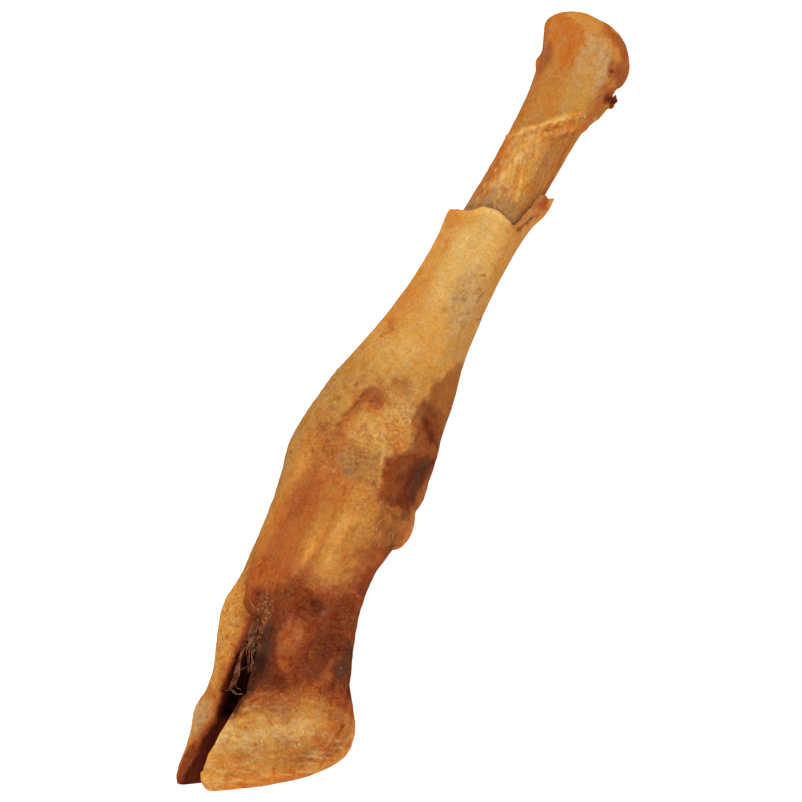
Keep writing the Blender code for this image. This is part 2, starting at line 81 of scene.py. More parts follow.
# Colours as the camera sees them, 0 to 255.
PALETTE = {
    "straw": (224, 182, 108),
    "cream": (217, 173, 98),
    "pale": (206, 168, 106),
    "gold": (212, 156, 76),
    "honey": (210, 144, 66),
    "amber": (204, 132, 55),
    "ochre": (190, 126, 58),
    "olive": (182, 130, 64),
    "barley": (194, 142, 70),
    "dun": (170, 124, 74),
    "tan": (194, 154, 98),
    "ash": (172, 134, 88),
    "grey": (136, 100, 68),
    "husk": (178, 122, 88),
    "orange": (194, 110, 44),
    "copper": (178, 96, 44),
    "clay": (164, 92, 48),
    "walnut": (150, 89, 44),
    "rust": (148, 74, 37),
    "russet": (130, 60, 31),
    "brown": (138, 80, 42),
    "umber": (110, 54, 30),
    "maroon": (94, 42, 24),
    "wine": (76, 31, 18),
    "soot": (78, 50, 37),
    "char": (54, 29, 21),
    "blood": (70, 24, 11),
    "black": (14, 5, 3),
}

# Colour along the leg, from the toes up: y and the colour there.
SKIN_RUN = (
    (-103, "honey"), (-97, "ochre"), (-80, "ochre"), (-77, "clay"), (-72, "russet"), (-64, "umber"),
    (-57, "umber"), (-51, "rust"), (-47, "clay"), (-42, "ochre"), (-20, "ochre"), (-10, "barley"),
    (9, "barley"), (15, "gold"), (42, "gold"), (56, "cream"), (66, "ochre"),
)
BONE_RUN = (
    (-8, "tan"), (50, "dun"), (57, "dun"), (62, "olive"), (66, "ochre"), (104, "ochre"), (108, "amber"),
    (112, "honey"),
)

# What is painted, as it lies on the side that is seen. An outline or a line is (x, y) points, its edge soft
# millimetres wide. strength is 1 where nothing shows through. part is "leg", or "near" or "far" for the upper
# or the lower toe only.
Area = namedtuple("Area", "outline colour strength soft part", defaults=("leg",))
Stroke = namedtuple("Stroke", "line width colour strength part", defaults=("leg",))
# An ellipse: its centre, half sizes and turn in degrees. soft is a share of its size.
Patch = namedtuple("Patch", "x y wide high colour strength soft turn part", defaults=(0.9, 0, "leg"))
# Blotches of about size millimetres, scattered over an outline.
Speckle = namedtuple("Speckle", "outline size colour strength part", defaults=("leg",))

GREY_SHAFT = (
    (-2.2, 37), (1, 39.6), (4.6, 38.6), (6, 34), (5.4, 28), (4.4, 23), (2, 20.5), (0.6, 24), (-1.6, 29),
    (-3, 33),
)
KNOB = (
    (-10, -5), (-6, -4.4), (-3, 0), (0, 3), (3, 1.4), (4.6, -3), (4.4, -8.6), (2, -11.4), (0, -13),
    (-5, -12.6), (-9.6, -11.6),
)
GREY_FETLOCK = (
    (-9, -14.4), (-5, -13.4), (-1.6, -13), (0, -15.6), (0.6, -20.6), (-2, -21.6), (-8, -21.6), (-10, -18),
)
# The brown back of the leg, from above the fetlock down to the dewclaw.
BROWN_BACK = (
    (6.9, 15.8), (8.6, 18), (12, 14), (14, -6), (14, -14), (11.6, -12), (8.4, -11), (5, -10.4), (4.9, -5),
    (4.6, -1), (2.6, 2), (3.6, 5), (3.4, 8.6), (5, 12),
)
BACK_LOBE = ((2.6, 2.6), (4.6, 4.6), (8, 4), (10.4, 1.4), (12, -4.8), (9.6, -4.4), (7, -2.6), (4.6, -1.6))
HOLLOW = (
    (0.8, -13.4), (2.6, -11.2), (4.6, -10.2), (8, -9.4), (10.4, -7.6), (12.8, -8), (13, -12), (12.9, -18),
    (12.6, -22.8), (11.6, -24), (3.4, -24), (2.6, -20), (1.2, -16.4),
)
HOLLOW_DARK = (
    (8, -10.4), (10.4, -8.2), (12.4, -8.6), (12.4, -14), (12, -20), (10.2, -23), (7.6, -22), (7.4, -16),
)
CREASE = ((5.4, 0.2), (6.8, -1.2), (8.8, -3.2), (10.9, -5))
FRONT_HOLLOW = (
    (-11.8, 0.8), (-9.4, 2.8), (-6.6, 2.4), (-5, 0.4), (-5.4, -2), (-7.2, -3.8), (-9.8, -4.6), (-11.4, -3),
)
DEWCLAW_FOOT = ((3.4, -23.7), (13, -23.9), (12.2, -30), (12, -36), (8, -37), (5.4, -35), (5, -29))
TENDONS = ((-19, -27), (4, -25), (9, -33), (9.6, -47), (-2, -49), (-19, -54))
PASTERN = ((-12, -52), (0, -52), (12, -50), (16, -66), (19, -75), (5, -78), (-6, -80), (-11, -62))
FAR_FLESH = (
    (-20, -57), (-14, -57), (-12.6, -66), (-11.4, -96), (-9, -112), (-13, -113), (-14.8, -98), (-15, -70),
)
# On the lower toe, where the golden side turns rust brown, then dark red and black as painted shade, by the
# cleft.
RUST_EDGE = (
    (-15.4, -60), (-15, -64), (-14.5, -68), (-14.1, -74), (-13.9, -80), (-13.2, -85), (-12.3, -89),
    (-11.9, -92.4), (-12.4, -95.2), (-12.9, -98), (-13.8, -101), (-14.6, -105), (-14.8, -113),
)
DARK_EDGE = (
    (-11.6, -66), (-12.3, -70), (-12.8, -74), (-12.8, -80), (-12.4, -85), (-11.5, -89), (-10.3, -93.5),
    (-11.4, -96), (-11.5, -101), (-11.6, -108), (-12, -113),
)
BLACK_EDGE = ((-9.4, -66), (-10, -72), (-10.8, -78), (-10.8, -85), (-10.2, -89), (-9.4, -93))
MATTED = ((-13.2, -57.6), (-10.6, -57.2), (-9, -63), (-8.8, -71), (-11.6, -73), (-12.2, -66))
HOOF = (
    (-7.4, -84), (-3, -82), (1, -80.4), (4.6, -78), (8, -76.6), (14, -76), (19, -76.6), (22, -82), (26, -92),
    (18, -102), (8, -108), (-6, -115), (-12, -112), (-11, -96),
)
HOOF_TOP = ((-8, -79), (-4, -78), (5, -77), (6.6, -80), (4, -83), (-1, -84.6), (-4, -86), (-7, -90))
HOOF_LOW = ((-9.4, -98.6), (-3, -98.6), (3, -97.8), (9, -95.6), (12, -97), (5, -103), (-4, -109), (-10, -107))
HEEL = ((15.4, -77), (19, -77.6), (22, -81), (22.6, -86), (20, -91), (15, -91.6), (16.6, -87), (16.6, -81))
HORN_PALE = (
    (-8.4, -96), (-6.6, -91.6), (-3, -93), (0, -89.6), (4, -87.4), (8, -84.6), (10, -82.6), (13.4, -83.4),
    (12.4, -87.4), (8, -89), (5, -91.6), (0, -93.4), (-4, -98),
)


def beside(line, offset, reach):
    """The outline of a band that starts offset to the right of a line and is reach wide."""
    return (*((x + offset, y) for x, y in line), *((x + offset + reach, y) for x, y in reversed(line)))


def speckles(outline, *layers):
    """Speckles of several sizes and colours over one outline."""
    return [Speckle(outline, *layer) for layer in layers]


def only(items, part):
    """The items, laid on one toe only."""
    return [item._replace(part=part) for item in items]


LEG_PAINT = (
    # Shaft, down from the cuff
    # Pale cream and straw down the middle: a painted highlight where the key light falls.
    Area(((-7, 57), (3, 57), (4, 42), (1, 30), (-1, 20), (-6, 20), (-7.5, 40)), "cream", 0.75, 3),
    Area(((-6.6, 50), (-3.5, 50), (-3.4, 30), (-5, 22), (-7.2, 30)), "straw", 0.5, 1.6),
    Area(((-13, 52), (-9, 54), (-8, 42), (-9, 28), (-12, 18), (-17, 18), (-14.5, 30)), "honey", 0.8, 1.6),
    Area(((-13, 52), (-8, 54), (-7.6, 49), (-9, 46), (-12, 46)), "amber", 0.8, 1.6),
    Area(((-12.6, 36), (-9.4, 34), (-8.6, 26), (-10.5, 20), (-16, 19), (-14, 28)), "amber", 0.7, 1.8),
    Area(((-14, 31), (-11, 33), (-10.4, 27), (-12.4, 22), (-15.4, 22)), "orange", 0.35, 1.6),
    *speckles(((-14, 50), (-8, 50), (-8, 14), (-18, 14)), (2.6, "orange", 0.5), (1.4, "gold", 0.5)),
    Area(((-8, 30), (2, 30), (4, 12), (-16, 8), (-13, 20)), "honey", 0.5, 3),
    Patch(-7, 14.6, 2.4, 3.4, "straw", 0.5, 0.9, 20),
    Patch(-11.6, 12.4, 2, 2.4, "cream", 0.5, 0.9, 20),
    *speckles(((-14.6, 20), (-10.6, 19.6), (-11.4, 14.2), (-14.8, 13.6)), (0.9, "orange", 1),
        (0.6, "copper", 1)),
    Patch(-12.7, 18.5, 0.8, 1.2, "orange", 0.9, 0.6, 20),
    Patch(-11.9, 17.2, 0.6, 0.7, "copper", 0.7, 0.7),
    Patch(-13.5, 14.6, 0.9, 0.6, "orange", 0.7, 0.7),
    Patch(-14.3, 11.5, 0.6, 0.5, "orange", 0.8, 0.7),
    Area(((-13.8, 37), (-11.8, 34), (-14.8, 20), (-17.6, 8), (-22, 8), (-17, 20)), "ochre", 0.6, 1.2),
    Area(((4.2, 58), (10, 60), (9, 44), (8.6, 20), (5.5, 14), (4.6, 30), (4.6, 44)), "ochre", 0.9, 1.3),
    Area(((5.6, 44), (9.6, 42), (9.6, 14), (7, 15), (3.6, 19), (4.6, 30)), "olive", 0.85, 1.3),
    Area(((7.2, 62), (12, 62), (9.5, 30), (9.6, 16), (7.6, 16), (7, 40)), "dun", 0.3, 0.9),
    Area(GREY_SHAFT, "tan", 0.7, 2),
    *speckles(GREY_SHAFT, (1.3, "ash", 0.6), (0.8, "brown", 0.5)),
    Patch(-10.4, 51.6, 1.8, 3.4, "orange", 0.35),
    Patch(-7, 52.5, 1.2, 4, "honey", 0.7, 0.8),
    Patch(-4.4, 53.4, 1.6, 3, "gold", 0.5),
    Patch(3.2, 50.5, 1.6, 5, "gold", 0.6),
    Patch(5, 54, 1, 1.4, "clay", 0.5),
    Patch(3.1, 39.5, 0.5, 0.4, "rust", 0.9, 0.6),
    Patch(2.2, 41.2, 1.3, 0.8, "ochre", 0.5, 0.8),
    Stroke(((3.6, 35.2), (4.2, 36.2), (5, 35.4), (5.2, 33)), 0.22, "brown", 0.7),
    Stroke(((0.4, 32.4), (1.2, 31.6), (2, 31.8)), 0.22, "brown", 0.6),
    Stroke(((-1.2, 31.4), (-0.4, 30.6)), 0.22, "brown", 0.6),
    Patch(7.2, 29, 0.35, 0.4, "brown", 0.8, 0.6),
    Patch(4, 25.8, 0.4, 0.7, "clay", 0.6, 0.8),
    Patch(-2, 27.4, 0.6, 0.5, "clay", 0.5, 0.8),
    *speckles(((-19, 14), (6, 18), (6, 2), (-21, 0)), (1.9, "ochre", 0.55), (1.2, "cream", 0.35)),
    Area(((-22, 12), (-16, 12), (-15, 2), (-23, 0)), "ochre", 0.6, 1.8),
    Area(((-7, 6), (-4, 7.6), (-1, 6.4), (0.6, 3), (-3, 2.4), (-5.6, 3.2)), "clay", 0.5, 1.2),
    Patch(-5.2, 5.4, 1.2, 0.9, "clay", 0.5, 0.8),
    Patch(0.6, 0.6, 1.6, 3.2, "tan", 0.6, 0.9, 20),
    Patch(-8, 3.4, 3, 1.2, "clay", 0.45, 0.9, -10),
    Patch(-9, 9, 2.6, 2.2, "gold", 0.6),
    Patch(4, 17, 1.8, 4.6, "olive", 0.7),
    Area(((0, 13), (4, 14), (4, 2), (0.4, 4)), "ochre", 0.6, 1.6),
    # Brown at the back, over the fetlock
    Area(BROWN_BACK, "walnut", 0.95, 0.9),
    Area(((4.8, 12), (6.6, 15), (8, 16), (8.4, 12), (6.6, 10.6)), "clay", 0.5, 0.9),
    Area(((4.4, 2), (12, 2), (13, -9), (8, -10.4), (5, -9.8), (4.2, -4)), "brown", 0.6, 0.9),
    Area(BACK_LOBE, "brown", 0.9, 0.9),
    Area(((2.4, 0.4), (3.4, 3.4), (7, 3.6), (9.6, 0.6), (11.6, -5), (8.6, -4.4), (4.8, -2.2)), "umber", 0.45,
        0.9),
    Patch(3.2, -1.2, 1.4, 2.6, "dun", 0.9, 0.8),
    Patch(3.4, -0.2, 1.2, 1.6, "brown", 0.6, 0.8),
    Patch(5.2, -2.2, 1.2, 1.4, "russet", 0.5, 0.8),
    Patch(5.2, -6.4, 1, 1.6, "brown", 0.5, 0.8),
    Patch(3.2, -8.2, 1.2, 1.4, "copper", 0.5, 0.8),
    Patch(5.6, 0.4, 2.2, 1.7, "umber", 0.6, 0.8, -30),
    Patch(8.2, -1.4, 2.4, 1.6, "russet", 0.7, 0.8, -40),
    Patch(9, -3.6, 2, 1.1, "maroon", 0.6, 0.8, -45),
    Patch(7.2, -3.8, 2, 1.4, "russet", 0.5, 0.9, -40),
    Patch(7.4, -8.2, 2.2, 1.6, "rust", 0.45),
    Patch(10.4, -5.9, 1, 0.7, "clay", 0.7, 0.8, -30),
    Area(((9.8, -6.8), (13, -6.4), (13, -10), (9, -10)), "brown", 0.6, 0.8),
    Stroke(CREASE, 0.75, "wine", 0.6),
    # Hollow at the front of the knob
    Area(FRONT_HOLLOW, "copper", 0.8, 1.3),
    Patch(-9, 0.4, 2, 1.8, "clay", 0.7, 0.8),
    Area(((-12.6, -2), (-10.4, -3), (-10.6, -6), (-11.8, -9.6), (-11.4, -14), (-14.6, -14.6), (-14.4, -9),
        (-13.6, -5)), "copper", 0.75, 1),
    Stroke(((-11.7, -0.8), (-11.8, -2.4)), 0.35, "maroon", 0.9),
    Stroke(((-12, -3.4), (-12.5, -4.6)), 0.3, "umber", 0.85),
    Stroke(((-12.7, -5.4), (-13.3, -7.2)), 0.5, "rust", 0.6),
    Patch(-13.9, -10.6, 0.8, 1.4, "rust", 0.7, 0.8, 30),
    Patch(-8.6, -1.2, 0.4, 0.3, "maroon", 0.8, 0.6),
    Patch(-7, -2.3, 0.5, 0.25, "rust", 0.7, 0.6),
    Patch(-12.1, -8.8, 0.3, 0.2, "umber", 0.8, 0.5),
    Patch(-10.1, -14.3, 0.35, 0.25, "umber", 0.8, 0.5),
    Patch(-14.2, 0.7, 0.6, 0.5, "brown", 0.7, 0.7),
    Patch(-13, 2.2, 1.2, 1.2, "clay", 0.4),
    Area(((-25, 6), (-17, 4), (-14.4, -1), (-15, -9), (-18, -12), (-26, -14)), "olive", 0.75, 2.2),
    Area(((-20, -10), (-15, -10.6), (-12.6, -12.6), (-10.2, -14), (-9.6, -20), (-10.6, -27), (-15, -27),
        (-16.6, -20), (-20.4, -17)), "copper", 0.6, 1.8),
    Speckle(((-21, -10), (-12, -10), (-10, -27), (-17, -26)), 1.5, "rust", 0.5),
    Speckle(((-21, -10), (-12, -10), (-10, -27), (-20, -26)), 1.1, "olive", 0.6),
    Patch(-17.6, -12.4, 1.8, 1.2, "rust", 0.4, 0.9, 30),
    Patch(-11, -12, 1, 3.6, "orange", 0.6),
    Patch(-11, -3, 0.9, 1.6, "rust", 0.6, 0.8),
    Patch(-11, -18.4, 1.6, 2, "walnut", 0.3),
    Patch(-19, -20, 1.6, 1.6, "walnut", 0.25),
    Patch(-17, -27, 1.2, 1.6, "honey", 0.8),
    # Knob and fetlock
    Area(KNOB, "gold", 0.4, 1.6),
    *speckles(KNOB, (2.4, "ochre", 0.8), (1.4, "straw", 0.6), (1, "clay", 0.9)),
    Patch(-7.6, -8.2, 1.6, 1.4, "cream", 0.5),
    Patch(-3.4, -4.6, 1.4, 1.8, "cream", 0.4),
    Patch(-6.8, -2.8, 1.4, 1.2, "copper", 0.7),
    Patch(-1, -6, 2.4, 1.6, "orange", 0.35),
    Patch(-1, -10.6, 1.8, 1.8, "olive", 0.8),
    Patch(-3, -6.2, 1.4, 1.2, "orange", 0.4),
    Patch(-5, -24.2, 1.6, 1.2, "clay", 0.5),
    Patch(-7.2, -1.8, 1.2, 1, "rust", 0.4),
    Patch(2.6, -9.4, 1.6, 2.6, "orange", 0.5),
    Area(GREY_FETLOCK, "dun", 0.6, 1.6),
    *speckles(GREY_FETLOCK, (1.3, "clay", 0.6), (0.8, "brown", 0.6), (0.9, "barley", 0.6),
        (0.6, "umber", 0.45)),
    Patch(-6.8, -20.4, 1.7, 1, "grey", 0.6),
    Patch(0.2, -20.6, 1.2, 0.6, "brown", 0.55),
    # Painted highlight along the ridge beside the hollow.
    Stroke(((-2.6, -7.4), (-1, -11), (-0.2, -14)), 0.5, "straw", 0.45),
    Stroke(((-0.2, -14), (0.8, -17), (1.8, -20.4)), 0.28, "straw", 0.6),
    Area(((-12, -21.4), (2.8, -22), (3.4, -26), (-2, -30), (-10, -29.6)), "copper", 0.5, 1.8),
    Speckle(((-12, -21.4), (2.8, -22), (3.4, -26), (-2, -30), (-10, -29.6)), 1.3, "amber", 0.8),
    Speckle(((-4, -22), (3, -22), (6, -31), (-3, -31)), 1.2, "gold", 0.7),
    Area(((-26, -2), (-21.8, -2), (-21.2, -14), (-20.2, -26), (-23, -27), (-26, -18)), "olive", 0.85, 1),
    Patch(-18.3, -24.4, 1.5, 5.6, "honey", 0.85, 0.8, 2),
    Patch(-14.3, -25.1, 0.45, 0.4, "umber", 0.9, 0.6),
    Patch(-12.6, -24.6, 0.25, 0.25, "umber", 0.8, 0.6),
    Patch(-15, -17.6, 0.35, 0.5, "rust", 0.7, 0.6),
    # Hollow before the dewclaw: the skin's own brown, with painted shade darkest in the hollow
    Area(((0, -12.6), (2.4, -11.8), (2.8, -20), (1.8, -21), (0.2, -16)), "clay", 0.6, 0.9),
    Patch(2.8, -11.2, 1.4, 1, "clay", 0.7, 0.8),
    Patch(2.8, -21, 1, 2.4, "clay", 0.7, 0.8),
    Area(HOLLOW, "russet", 0.9, 0.7),
    Patch(10, -23.4, 2.2, 1, "umber", 0.6, 0.8),
    Patch(3, -13.4, 1.3, 1.9, "umber", 0.45, 0.7),
    Area(((6.4, -10.4), (12.4, -8.6), (12.4, -21), (8, -22), (6, -17)), "umber", 0.8, 1.6),
    Area(HOLLOW_DARK, "maroon", 0.55, 1.4),
    Area(((9.2, -9), (12, -8.6), (11.8, -14), (11.2, -20), (10, -20), (9.2, -15)), "soot", 0.8, 1),
    Patch(5.4, -12.4, 1.8, 1.6, "brown", 0.45),
    Patch(6.4, -20, 2.2, 2.4, "rust", 0.35),
    Speckle(HOLLOW_DARK, 0.8, "wine", 0.4),
    Area(((12.5, -12), (15, -12), (15, -23), (12.4, -23), (12.3, -18)), "brown", 0.9, 0.7),
    Area(((13.9, -14), (16, -14), (16, -26), (13.8, -26)), "ochre", 0.85, 0.5),
    Area(DEWCLAW_FOOT, "walnut", 0.9, 1),
    *speckles(DEWCLAW_FOOT, (1.3, "ochre", 0.35), (1, "rust", 0.4)),
    Area(((12.2, -13), (14, -14), (14, -34), (12.4, -34)), "brown", 0.4, 0.8),
    # Dewclaw
    Area(((12.2, -25), (16, -25.4), (16, -35.6), (12.2, -35), (11.8, -31)), "clay", 0.9, 0.5),
    Area(((13.4, -26), (16, -26), (16, -34), (13.4, -34)), "ochre", 0.6, 0.6),
    Patch(11.1, -30.4, 0.9, 3.2, "brown", 0.75, 0.6),
    Patch(11.4, -33.2, 0.5, 0.8, "soot", 0.75, 0.6),
    Area(((12.2, -24), (13.9, -24), (13.7, -33), (12, -33)), "brown", 0.5, 0.6),
    Patch(11.6, -36.6, 1.4, 4.4, "umber", 0.6, 0.8),
    Patch(3.7, 0.2, 1.6, 2.4, "brown", 0.9, 0.6),
    Patch(8.2, -6.4, 3.6, 2, "russet", 0.45),
    Patch(-7, 37, 1.8, 3.4, "gold", 0.6),
    Patch(-6.4, 52.4, 2.4, 2.6, "amber", 0.5),
    Patch(-13, -2, 1, 1.4, "clay", 0.6),
    Patch(-17, -26, 1.2, 1.6, "honey", 0.6),
    Stroke(((-2.6, 56.4), (0.2, 56.6), (2.4, 56)), 0.8, "dun", 0.6),
    Patch(3.2, 54, 1.6, 1.2, "barley", 0.5),
    Patch(3, 42, 1.5, 1.8, "tan", 0.5),
    Patch(5.2, -2.4, 1.4, 1.2, "russet", 0.7, 0.8),
    Patch(3.2, -2.6, 1, 1, "copper", 0.6, 0.8),
    Patch(6.8, -22.3, 2.6, 0.9, "umber", 0.7, 0.7),
    Patch(11.2, -24, 1.2, 1.4, "umber", 0.6, 0.8),
    Patch(11.2, -38.6, 1.3, 2.8, "umber", 0.8, 0.8),
    Stroke(((10.9, -35.6), (10.4, -40), (10.4, -47), (11, -54)), 0.8, "wine", 0.55),
    # Tendons between the fetlock and the toes
    Area(((-18.4, -30), (-16.6, -24), (-11, -24.6), (-9.8, -30), (-9.6, -37), (-9.8, -46), (-8.6, -50),
        (-9.4, -58), (-17, -60), (-18.8, -50), (-18.8, -38)), "copper", 0.8, 1.2),
    Area(((-16, -27.6), (-11.8, -26), (-11.2, -33), (-12.2, -36.4), (-15.8, -37.4), (-16.6, -33)), "rust",
        0.3, 1.4),
    Patch(-15.4, -42, 0.9, 7.5, "clay", 0.5),
    Patch(-12.4, -42, 1.7, 5, "orange", 0.3),
    Patch(-18.4, -48, 1, 8, "amber", 0.6, 0.8),
    Area(((-26, -27), (-20, -27), (-19.8, -42), (-19.2, -58), (-26, -62)), "ochre", 0.9, 0.7),
    Area(((-26, -14), (-22.6, -14), (-22.4, -24), (-20.8, -30), (-20.4, -47), (-26, -47)), "dun", 0.5, 0.6),
    Area(((-26, -30), (-21.2, -31), (-20.8, -46), (-26, -46)), "copper", 0.4, 0.6),
    Patch(-2.6, -36, 1.5, 10.5, "honey", 0.8, 0.8, -3),
    Patch(-3, -34, 0.7, 5, "gold", 0.7, 0.7, -8),
    Patch(1.4, -29.6, 1.6, 2.4, "gold", 0.5),
    Patch(-0.4, -44.8, 2.6, 3.4, "gold", 0.8),
    Patch(-7.4, -41, 1.5, 7, "honey", 0.7, 0.8, -5),
    Patch(-7.6, -44.4, 0.9, 2.6, "gold", 0.4, 0.9, -6),
    Patch(-5.4, -37, 0.8, 8, "orange", 0.35, 0.9, -4),
    Patch(-4.8, -46, 1.1, 2.4, "orange", 0.35),
    Patch(-9, -46.4, 1, 3, "copper", 0.5),
    Area(((1.8, -30), (6, -31), (6.4, -40), (6, -46), (1.6, -45), (1.6, -38)), "ochre", 0.6, 1.2),
    Speckle(TENDONS, 1.3, "copper", 0.45),
    *speckles(((1, -28), (7, -30), (8, -47), (1, -47)), (1, "honey", 0.6), (1.3, "rust", 0.5)),
    Area(((6.6, -34), (13, -35), (13, -50), (5.2, -48.6), (5.4, -42)), "rust", 0.85, 1.2),
    Patch(5.4, -37.4, 1.7, 1.6, "rust", 0.5, 0.8),
    Area(((8.2, -40), (13, -38), (13, -49), (7.6, -48)), "russet", 0.85, 1),
    Patch(10.2, -44.5, 0.7, 2.4, "soot", 0.6, 0.8),
    Patch(11.2, -38, 1.2, 1.6, "rust", 0.7, 0.8),
    Patch(8.8, -48.6, 2.8, 2.6, "umber", 0.55),
    Patch(-20, -57, 1.4, 2.6, "gold", 0.5),
    Stroke(((4.4, -47.6), (7, -47.8), (9.6, -48)), 0.35, "copper", 0.7),
    # Pastern
    Area(((-12, -54), (-6, -52.6), (3, -53), (5, -49.6), (13, -49.6), (15, -58), (13, -62), (-11, -62),
        (-13, -57)), "russet", 0.85, 1.8),
    Area(((-19, -50), (-11, -50), (-11, -55), (-15, -58), (-18.6, -62)), "copper", 0.7, 1.4),
    Area(((-26, -52), (-19.6, -52), (-18.6, -60), (-17.6, -66), (-26, -66)), "ochre", 0.85, 0.8),
    Area(((-16.6, -57.4), (-13, -56.4), (-11, -59), (-12, -64), (-14.6, -63)), "russet", 0.8, 1.2),
    Area(((-18.6, -55), (-16.8, -55), (-15.8, -60), (-14, -63), (-12, -64), (-15, -65), (-17.8, -61)), "rust",
        0.7, 1),
    Patch(-17.6, -58, 0.9, 2.8, "orange", 0.4, 0.9, 20),
    Patch(-7.6, -54.6, 2, 2.2, "brown", 0.6),
    Patch(-7.6, -55.2, 1.2, 1.4, "umber", 0.5),
    Patch(0.3, -54.8, 2.4, 1.4, "wine", 0.85, 0.8),
    Patch(-0.4, -54.6, 1.1, 0.7, "blood", 0.8, 0.8, 20),
    Patch(-2.4, -56.8, 2.4, 1.2, "umber", 0.6, 0.9, 10),
    Patch(-3, -57.1, 1.2, 0.5, "blood", 0.7, 0.7, 10),
    Patch(1.4, -56.8, 1.4, 0.9, "umber", 0.6),
    Area(((4.6, -50), (11.6, -51), (12.6, -58), (11, -62), (6.4, -62), (4.8, -56)), "umber", 0.65, 1),
)
NEAR_PASTERN_PAINT = (
    # The upper toe below the fetlock
    Area(((-6, -58), (15, -58), (18, -70), (21, -75), (8, -76), (2, -77.6), (-4, -76), (-6, -68)), "russet",
        0.9, 1.2),
    Area(((3.6, -60), (13, -59), (15, -68), (13, -74.6), (4.6, -74), (3.2, -66)), "umber", 0.55, 1.2),
    Area(((-5, -60), (0.4, -60), (1.6, -64), (0.8, -68), (-2, -71.6), (-4.4, -71), (-5.4, -65)), "clay", 0.75,
        1),
    Patch(-1.8, -64.4, 1.9, 2.6, "copper", 0.6),
    Patch(-0.4, -64, 0.9, 1.4, "dun", 0.35),
    Patch(-3, -70, 1.2, 1.4, "copper", 0.5, 0.9, 20),
    Patch(4.2, -59.4, 1.6, 0.8, "rust", 0.6, 0.8),
    Area(((5, -59.6), (11, -59), (11.4, -64), (9.4, -67), (5.8, -66.6), (4.8, -63)), "maroon", 0.75, 1),
    Patch(10.2, -69.2, 1.1, 3.4, "rust", 0.8, 0.8, 8),
    Patch(10.4, -69, 0.5, 2.4, "clay", 0.6, 0.8, 8),
    Area(((11.6, -59), (13.8, -60), (14.8, -65), (14, -70), (12.2, -68.6)), "soot", 0.9, 0.8),
    Area(((14.2, -61), (17, -64), (21, -74), (17, -73), (14.6, -69)), "maroon", 0.8, 0.9),
    Patch(13, -71.4, 1, 2.2, "umber", 0.7, 0.8),
    Area(((4, -73), (8, -73.4), (20, -73), (20.4, -76.6), (8, -76.4), (4, -78)), "rust", 0.8, 1),
    Patch(8.6, -76.2, 2.4, 1.4, "copper", 0.7, 0.8),
    *speckles(PASTERN, (1.8, "copper", 0.22), (1.2, "wine", 0.35), (0.7, "clay", 0.22)),
    Area(((-10.6, -60), (-7.6, -60), (-6.4, -66), (-4.4, -71), (-2, -74), (2, -75.4), (1.4, -77.6), (-3, -79),
        (-6.2, -81), (-7, -88), (-11, -88), (-11, -72)), "umber", 0.8, 1.1),
    Area(((-9.6, -62), (-7.4, -64.4), (-4.8, -72), (-3, -76), (-5.2, -80), (-9.6, -82)), "soot", 0.85, 1),
    Patch(-7, -75.6, 1.8, 3.6, "char", 0.6),
    Patch(-1, -76.2, 2.4, 1, "maroon", 0.7, 0.8, -10),
)
PARTING_PAINT = (
    # Where the toes part
    Area(((-13.6, -58), (-9.4, -58), (-8.4, -64), (-11, -67), (-13.4, -64)), "russet", 0.75, 1),
    Speckle(MATTED, 0.8, "ochre", 0.3),
    # A small pit, its dark painted as shade.
    Patch(-14.3, -58.5, 0.5, 0.3, "black", 0.95, 0.5, -20),
    Stroke(((-2.4, -57.9), (-0.4, -58.3), (1.8, -58)), 0.2, "clay", 0.6),
    Stroke(((-1.4, -59), (0.4, -59.1)), 0.2, "clay", 0.5),
    Patch(-1, -57.6, 2, 1, "umber", 0.7),
    Patch(5.2, -58.4, 1.8, 1.4, "umber", 0.6),
    Patch(12.8, -66.4, 1.8, 1.3, "soot", 0.6, part="near"),
    Patch(1, -65.2, 1.4, 2, "russet", 0.5, part="near"),
    Patch(-8.8, -68.4, 1, 1.6, "wine", 0.8, part="near"),
    Patch(7, -52, 1.8, 1.4, "umber", 0.5),
    Patch(-21.2, -62, 1.2, 2.2, "olive", 0.6),
    Patch(-3.2, -74, 1.4, 1.2, "umber", 0.7, part="near"),
    Patch(9.4, -73.6, 1.6, 1.8, "copper", 0.6, part="near"),
    Patch(-1, -71.8, 1.6, 1.2, "copper", 0.6, part="near"),
    Patch(5, -60.2, 1.6, 0.9, "umber", 0.5, part="near"),
    Patch(3.2, -55, 0.5, 1.3, "grey", 0.5, 0.8, -20),
)
